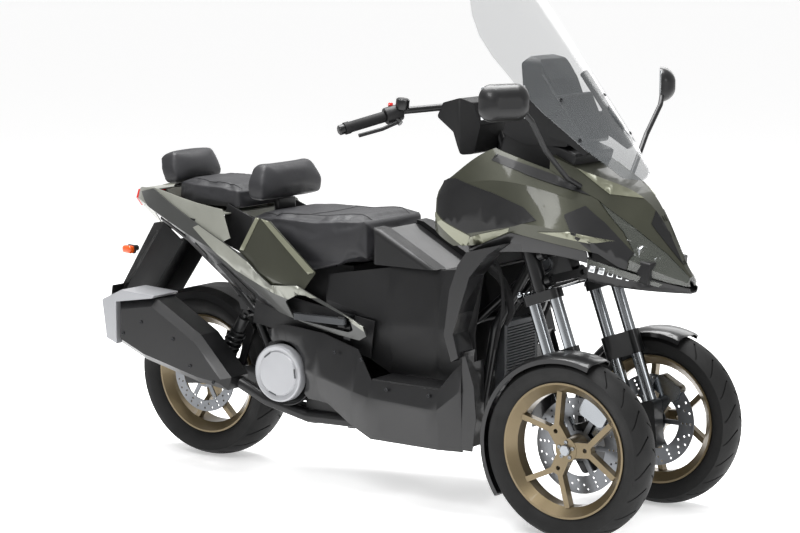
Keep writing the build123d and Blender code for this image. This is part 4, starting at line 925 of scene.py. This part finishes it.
# %% Hub screws and axle caps
hub_face, hub_circle = 0.2992, 0.024
for side, name in sides:
    hub_spots = [((front_axle_x + hub_circle * cos(a), side * hub_face,
                   front_radius + hub_circle * sin(a)), (0, side, 0))
                 for a in (0.3, 1.56, 2.8, 4.07, 5.3)]
    stamp(screw, hub_spots, f"hub_screws_{name}", f"wheel_front_{name}", screw_steel)
    cap = round_bar((front_axle_x, side * 0.2980, front_radius),
                    (front_axle_x, side * 0.3065, front_radius), 0.0165, edge=0.002, facets=40,
                    rim=0.004, push=-0.002)
    hand_over(cap, f"axle_cap_{name}", f"wheel_front_{name}", screw_steel)
bpy.data.objects.remove(screw)

# %% [markdown]
# ## Handlebar controls
# Each side has a switch housing round the bar inside the grip, a brake reservoir above the lever
# clamp and a weight at the bar's end. All are set along the line of the bar, so they keep to it.

# %% Handlebar controls
for side, name in sides:
    end = Vector((0.141, side * 0.400, 1.196))
    inner = Vector((0.231, side * 0.265, 1.237))
    along = (inner - end).normalized()
    housing = round_bar(end + along * 0.127, end + along * 0.182, 0.026, edge=0.004)
    hand_over(housing, f"switch_housing_{name}", "handlebar_group", black_plastic)
    button_at = end + along * 0.156 + Vector((-0.012, 0, 0.026))
    button = block(button_at, (0.022, 0.015, 0.012), turn=(0, -25, side * 50), edge=0.003)
    hand_over(button, f"thumb_switch_{name}", "handlebar_group",
              red_acrylic if side < 0 else grip_rubber)
    foot = end + along * 0.170 + Vector((0.016, 0, 0.012))
    reservoir = round_bar(foot, foot + Vector((0.004, 0, 0.030)), 0.021, edge=0.002, rim=0.003,
                          push=0.003)
    hand_over(reservoir, f"brake_reservoir_{name}", "handlebar_group",
              black_gloss)
    weight = round_bar(end - along * 0.006, end - along * 0.026, 0.0155, edge=0.003, rim=0.004,
                       push=0.003)
    hand_over(weight, f"bar_weight_{name}", "handlebar_group", black_steel)

# %% [markdown]
# ## Front lamps
# Behind each clear lens sit two projectors, a large and a small one, each a bright bowl with a
# milky lens in it. They are turned bars with a sunk or a raised face.

# %% Lamp bowls and projectors
bowls, projectors = [], []
for x, y, z, size in ((0.990, -0.083, 0.846, 0.024), (1.022, -0.056, 0.818, 0.018)):
    bowls.append(round_bar((x - 0.012, y, z), (x + 0.010, y - 0.004, z), size, edge=0.002,
                           facets=40, rim=0.003, push=-0.010))
    projectors.append(round_bar((x - 0.006, y, z), (x + 0.006, y - 0.002, z), size * 0.7,
                                edge=0.005, facets=40, rim=size * 0.3, push=0.003))
hand_over(both_sides(join(bowls)), "lamp_bowls", "chassis", mirror_silver)
hand_over(both_sides(join(projectors)), "lamp_projectors", "chassis", diode_white)

# %% [markdown]
# ## Running lamps
# A row of six little bright cells runs along the nose's lower flank, behind a clear strip that is
# cut from the nose's own surface.

# %% Running lamps
shell_panels("nose", (((868, 834), (985, 790), (1050, 762), (1044, 748), (985, 770), (872, 808)),),
             "running_lamp_strips", "lamp_lens", lamp_clear, lift=0.0002, wall=0.003)
cell_count = 6
first_cell, last_cell = Vector((0.884, -0.1945, 0.804)), Vector((0.992, -0.1085, 0.770))
cells = []
for step in range(cell_count):
    cell = block(first_cell.lerp(last_cell, step / (cell_count - 1)), (0.0185, 0.010, 0.021),
                 turn=(0, 14, 38.7), edge=0.002, steps=2)
    recess(cell, (0, -1, 0), 0.0025, (-0.002, 0.003, 0))
    cells.append(cell)
hand_over(both_sides(join(cells)), "running_lamps", "chassis", mirror_silver)

# %% [markdown]
# ## Horn and lamp housing
# The horn is a short drum with a sunk face. Behind the lenses a dark tapered box closes the nose,
# as the real lamps' housing does, so that no light shows through from behind.

# %% Horn and lamp housing
horn = round_bar((0.668, -0.112, 0.792), (0.676, -0.132, 0.790), 0.030, edge=0.003, facets=40,
                 rim=0.009, push=-0.010)
hand_over(horn, "horn_ring", "chassis", cast_alloy)

housing = block((0.935, 0, 0.803), (0.200, 0.236, 0.066), turn=(0, 8, 0), edge=0.006)
scale_faces(housing, (1, 0, 0), (1, 0.40, 0.7))
hand_over(housing, "lamp_housing", "chassis", black_plastic)

# %% [markdown]
# ## Shields and liners
# Dark walls inside the bodywork stop the eye from looking straight through its gaps. Each is a
# plain moulded sheet, so a thin block with broken edges is enough.

# %% Inner shield and body liners
shield = block((0.440, 0, 0.812), (0.010, 0.340, 0.110), turn=(0, -14, 0), edge=0.002)
scale_faces(shield, (0, 0, 1), (1, 0.62, 1))
hand_over(shield, "inner_shield", "chassis", black_plastic)

liner_wall = 0.006
liners = [block(place, (length, liner_wall, height), turn=(0, turn, 0), edge=0.002, steps=2)
          for place, length, height, turn in (((-0.155, -0.186, 0.540), 0.480, 0.120, 8),
                                              ((-0.460, -0.158, 0.800), 0.190, 0.130, 20),
                                              ((-0.040, -0.178, 0.310), 0.300, 0.120, 0))]
hand_over(both_sides(join(liners)), "body_liners", "chassis", black_plastic)

# %% [markdown]
# ## Crank case ring
# A black ring stands behind the crank lid. It is a turned disc whose face is inset and pushed in.

# %% Crank case ring
crank_x, crank_z = -0.250, 0.370
right_face = facing(right_out, 0.95)
ring = round_bar((crank_x, -0.196, crank_z), (crank_x, -0.2135, crank_z), 0.112, edge=0.004,
                 facets=64)
bake_place(ring)
pick_faces(ring, right_face)
bpy.ops.mesh.inset(thickness=0.008)
bpy.ops.transform.translate(value=(0, 0.004, 0))
bpy.ops.object.mode_set(mode="OBJECT")
hand_over(ring, "crank_case_ring", "chassis", black_steel)

# %% [markdown]
# ## Hoses and wiring
# Coolant hoses climb from the radiator, and a wiring run drops on each side from the bodywork to
# the frame. A hose takes the easiest bend between its clips, so a smooth curve through a few
# points is swept with a round section.


# %% Hoses and wiring
def hose(points, radius, name):
    """Rubber hose or cable on the chassis, along smooth points in metres."""
    hand_over(tube(name, "BEZIER", points, radius, 3), name, "chassis", grip_rubber)


hose_radius, wiring_radius = 0.013, 0.006
hose([(0.500, -0.080, 0.575), (0.535, -0.092, 0.630), (0.520, -0.110, 0.720),
      (0.470, -0.120, 0.770), (0.445, -0.118, 0.800)], hose_radius, "coolant_hose_right")
hose([(0.500, 0.080, 0.575), (0.535, 0.092, 0.630), (0.515, 0.110, 0.700),
      (0.470, 0.125, 0.740), (0.445, 0.120, 0.790)], hose_radius, "coolant_hose_left")
for side, name in sides:
    hose([(0.455, side * 0.150, 0.830), (0.520, side * 0.160, 0.800), (0.545, side * 0.150, 0.700),
          (0.515, side * 0.130, 0.560), (0.480, side * 0.118, 0.470)], wiring_radius,
         f"wiring_run_{name}")

# %% [markdown]
# ## Instruments
# The rider looks at a dark glass panel behind the screen. A shroud closes the space between the
# instruments and the cowl, and widens towards its foot.

# %% Instrument display and shroud
display = block((0.5695, 0, 1.330), (0.006, 0.120, 0.075), turn=(0, -8, 0), edge=0.003)
hand_over(display, "instrument_display", "chassis", display_glass)

shroud = block((0.640, 0, 1.120), (0.260, 0.230, 0.110), turn=(0, 20, 0), edge=0.010, steps=4)
scale_faces(shroud, (0, 0, -1), (1.05, 1.12, 1))
hand_over(shroud, "instrument_shroud", "chassis", black_plastic)

# %% [markdown]
# ## Turn signals
# A black stalk with a small socket carries an amber lens on each side of the tail. The lens is a
# block with very soft edges, as a moulded lens is.

# %% Turn signals
for side, name in sides:
    stalk = round_bar((-1.008, side * 0.070, 0.698), (-1.008, side * 0.100, 0.698), 0.0105,
                      edge=0.002)
    pod = block((-1.003, side * 0.104, 0.698), (0.040, 0.016, 0.031), turn=(0, 0, side * 8),
                edge=0.008, steps=4)
    hand_over(join([pod, stalk]), f"signal_pod_{name}", "chassis", black_plastic)
    lens = block((-1.006, side * 0.118, 0.698), (0.044, 0.026, 0.027), turn=(0, 0, side * 8),
                 edge=0.009, steps=4)
    hand_over(lens, f"signal_lens_{name}", "chassis", amber_acrylic)
    if side < 0:
        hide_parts("indicators")

# %% [markdown]
# ## Mudguard and number plate
# The long mudguard under the tail is a folded sheet: two side walls, narrowed towards the foot,
# and a back. The plate at its foot stays blank: a pressed sheet whose rim stands up.

# %% Mudguard sides and blank plate
guard_wall, guard_turn = 0.004, (0, 35.8, 0)
walls = []
for side, _ in sides:
    wall = block((-0.952, side * 0.084, 0.600), (0.100, guard_wall, 0.420), turn=guard_turn,
                 edge=0.0015, steps=2)
    pick_faces(wall, facing((0, 0, -1)))
    bpy.ops.transform.resize(value=(0.35, 1, 1))
    bpy.ops.transform.translate(value=(-0.028, 0, 0), orient_type="LOCAL")
    bpy.ops.object.mode_set(mode="OBJECT")
    walls.append(wall)
walls.append(block((-0.984, 0, 0.578), (guard_wall, 0.172, 0.380), turn=guard_turn, edge=0.0015,
                   steps=2))
hand_over(join(walls), "mudguard_sides", "chassis", black_plastic)

plate = block((-1.1252, 0, 0.4702), (0.0022, 0.176, 0.172), turn=(0, 9.93, 0), edge=0.001, steps=2)
recess(plate, (-1, 0, 0), 0.006, (0.0008, 0, 0))
hand_over(plate, "blank_plate", "chassis", plate_white)

# %% [markdown]
# ## Mirror glasses
# A thin silvered pane lies in the back of each mirror shell. Its inset rim keeps the bevel's
# shading away from the flat glass, which would otherwise look bent.

# %% Mirror glasses
for side, name in sides:
    glass = block((0.7423, side * 0.4621, 1.304), (0.0022, 0.142, 0.094), turn=(0, 0, side * 30),
                  edge=0.001, steps=2)
    pick_faces(glass, facing((-1, 0, 0), 0.7))
    bpy.ops.mesh.inset(thickness=0.004)
    bpy.ops.object.mode_set(mode="OBJECT")
    hand_over(glass, f"mirror_glass_{name}", "chassis", mirror_silver)

# %% [markdown]
# ## Crank lid
# The silver lid is a turned disc: a step is pushed in round a raised middle. Three short dark
# marks sit near its edge, turned to follow the circle.

# %% Crank lid and its marks
lid = round_bar((crank_x, -0.2175, crank_z), (crank_x, -0.2555, crank_z), 0.0935, edge=0.006,
                facets=72)
bake_place(lid)
pick_faces(lid, right_face)
bpy.ops.mesh.inset(thickness=0.013)
bpy.ops.transform.translate(value=(0, 0.005, 0))
bpy.ops.mesh.inset(thickness=0.004)
bpy.ops.transform.translate(value=(0, -0.004, 0))
bpy.ops.object.mode_set(mode="OBJECT")
hand_over(lid, "crank_lid", "chassis", silver_paint, 20)
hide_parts("crankcase_cover")

mark_circle = 0.070
marks = [block((crank_x + mark_circle * cos(a), -0.2535, crank_z + mark_circle * sin(a)),
               (0.005, 0.004, 0.030), turn=(0, -degrees(a), 0), edge=0.001)
         for a in (0.1, 2.2, 4.4)]
hand_over(join(marks), "crank_lid_marks", "chassis", cast_alloy)

# %% [markdown]
# ## Springs
# The dampers carry coil springs. A coil could be a curve, but the Screw modifier sweeps a small
# circle up a helix by its rise and its number of turns, as a spring maker would give them.

# %% Shock springs
wire_radius, coil_radius, coil_rise, coil_turns = 0.0045, 0.0275, 0.0185, 8
coils = []
for side, _ in sides:
    low = Vector((-0.600, side * 0.139, 0.304))
    high = Vector((-0.472, side * 0.139, 0.528))
    along = (high - low).normalized()
    nothing_selected()
    bpy.ops.mesh.primitive_circle_add(vertices=10, radius=wire_radius, location=(0, 0, 0),
                                      rotation=(radians(90), 0, 0))
    coil = bpy.context.object
    bpy.ops.object.transform_apply(location=False, rotation=True, scale=False)
    bpy.ops.object.mode_set(mode="EDIT")
    bpy.ops.mesh.select_all(action="SELECT")
    bpy.ops.transform.translate(value=(coil_radius, 0, 0))
    bpy.ops.object.mode_set(mode="OBJECT")
    apply_modifier(coil, "SCREW", angle=2 * pi, screw_offset=coil_rise, iterations=coil_turns,
                   steps=24, render_steps=24, axis="Z", use_merge_vertices=True)
    coil.location = low + along * 0.031
    point_along(coil, along)
    coils.append(coil)
springs = join(coils)
bake_place(springs)
bpy.ops.object.mode_set(mode="EDIT")
bpy.ops.mesh.select_all(action="SELECT")
bpy.ops.mesh.normals_make_consistent(inside=False)
bpy.ops.object.mode_set(mode="OBJECT")
hand_over(springs, "shock_springs", "chassis", black_steel)

# %% [markdown]
# ## Soft edges on the shells
# Moulded and cast pieces have small edge radii that catch the light. The CAD nodes keep their
# mesh of loose triangles: a Weld modifier closes it, and a Bevel modifier rounds what is shown.

# %% Edge radii in millimetres
edge_radii = {"rear_panels": 1.5, "muffler": 2.5, "muffler_cap": 4.0, "side_panels": 2.0,
              "legshield": 3.0, "arch_lips": 1.5, "tail_cowl": 1.6, "tail_lower_panels": 1.5,
              "dash": 3.0, "bar_cover": 3.0, "seat_collar": 3.0, "fuel_lid": 2.0, "nose": 1.5,
              "tunnel": 2.0, "fender_right": 1.5, "fender_left": 1.5}
for name, radius in edge_radii.items():
    weld = nodes[name].modifiers.new("weld", "WELD")
    weld.merge_threshold = 0.00002
    bevel = nodes[name].modifiers.new("edge_radius", "BEVEL")
    bevel.width = radius / 1000
    bevel.segments = 2
    bevel.limit_method = "ANGLE"
    bevel.angle_limit = radians(28)
    bevel.use_clamp_overlap = True
    bevel.harden_normals = True
print(f"{len(edge_radii)} shells with soft edges")

# %% [markdown]
# ## Studio
# A machine this dark is shown on white, so that its outline reads. The floor runs far past the
# view and glows a little, which keeps it white beyond the lights' reach.

# %% Floor
floor_size, floor_glow = 160, 0.4
bpy.ops.object.select_all(action="DESELECT")
bpy.ops.mesh.primitive_plane_add(size=floor_size, location=(0, 0, 0))
floor = bpy.context.object
floor.name = "floor"
floor_paint, _, floor_shader, _ = new_material("pale_studio_floor")
floor_shader.inputs["Base Color"].default_value = linear("#f4f4f4")
floor_shader.inputs["Roughness"].default_value = 0.7
floor_shader.inputs["Emission Color"].default_value = linear("#ffffff")
floor_shader.inputs["Emission Strength"].default_value = floor_glow
floor.data.materials.append(floor_paint)

# %% [markdown]
# ## Lights
# Large lamps give soft shadows. The widest hangs above and shapes the upper faces, the key light
# comes from the near side, and two weak ones open the front and the far side.


# %% Lights
def soft_light(name, place, aim, size, power):
    """Square area light at a place, facing a point."""
    lamp = bpy.data.lights.new(name, "AREA")
    lamp.size = size
    lamp.energy = power
    holder = bpy.data.objects.new(name, lamp)
    bpy.context.collection.objects.link(holder)
    holder.location = place
    holder.rotation_euler = (Vector(aim) - Vector(place)).to_track_quat("-Z", "Y").to_euler()


soft_light("key", (1.5, -4.6, 5.0), aim=(0.1, 0, 0.6), size=2.2, power=190)
soft_light("top", (-0.4, 0.4, 4.4), aim=(0, 0, 0.6), size=3.2, power=480)
soft_light("front", (6.0, -1.4, 2.0), aim=(0.6, 0, 0.7), size=1.6, power=40)
soft_light("far", (-1.0, 5.5, 3.0), aim=(0, 0, 0.7), size=3.0, power=60)

sky_light = 0.62
world = bpy.data.worlds.new("studio_air")
bpy.context.scene.world = world
world.use_nodes = True
world.node_tree.nodes["Background"].inputs["Color"].default_value = linear("#ffffff")
world.node_tree.nodes["Background"].inputs["Strength"].default_value = sky_light
bpy.context.scene.view_settings.view_transform = "Standard"

# %% [markdown]
# ## Camera
# The view is from the front right, a little above the screen's top edge, with a long lens that
# keeps the far wheel nearly as large as the near one.

# %% Camera
camera_azimuth, camera_elevation = radians(35.24), radians(8.53)
camera = bpy.data.objects.new("camera", bpy.data.cameras.new("camera"))
bpy.context.collection.objects.link(camera)
camera.location = (4.3396, -6.0644, 1.8289)
camera_back = Vector((sin(camera_azimuth) * cos(camera_elevation),
                      -cos(camera_azimuth) * cos(camera_elevation), sin(camera_elevation)))
camera.rotation_euler = (-camera_back).to_track_quat("-Z", "Y").to_euler()
camera.data.lens = 104.9
camera.data.sensor_width = 36.0
camera.data.clip_end = 200.0
bpy.context.scene.camera = camera
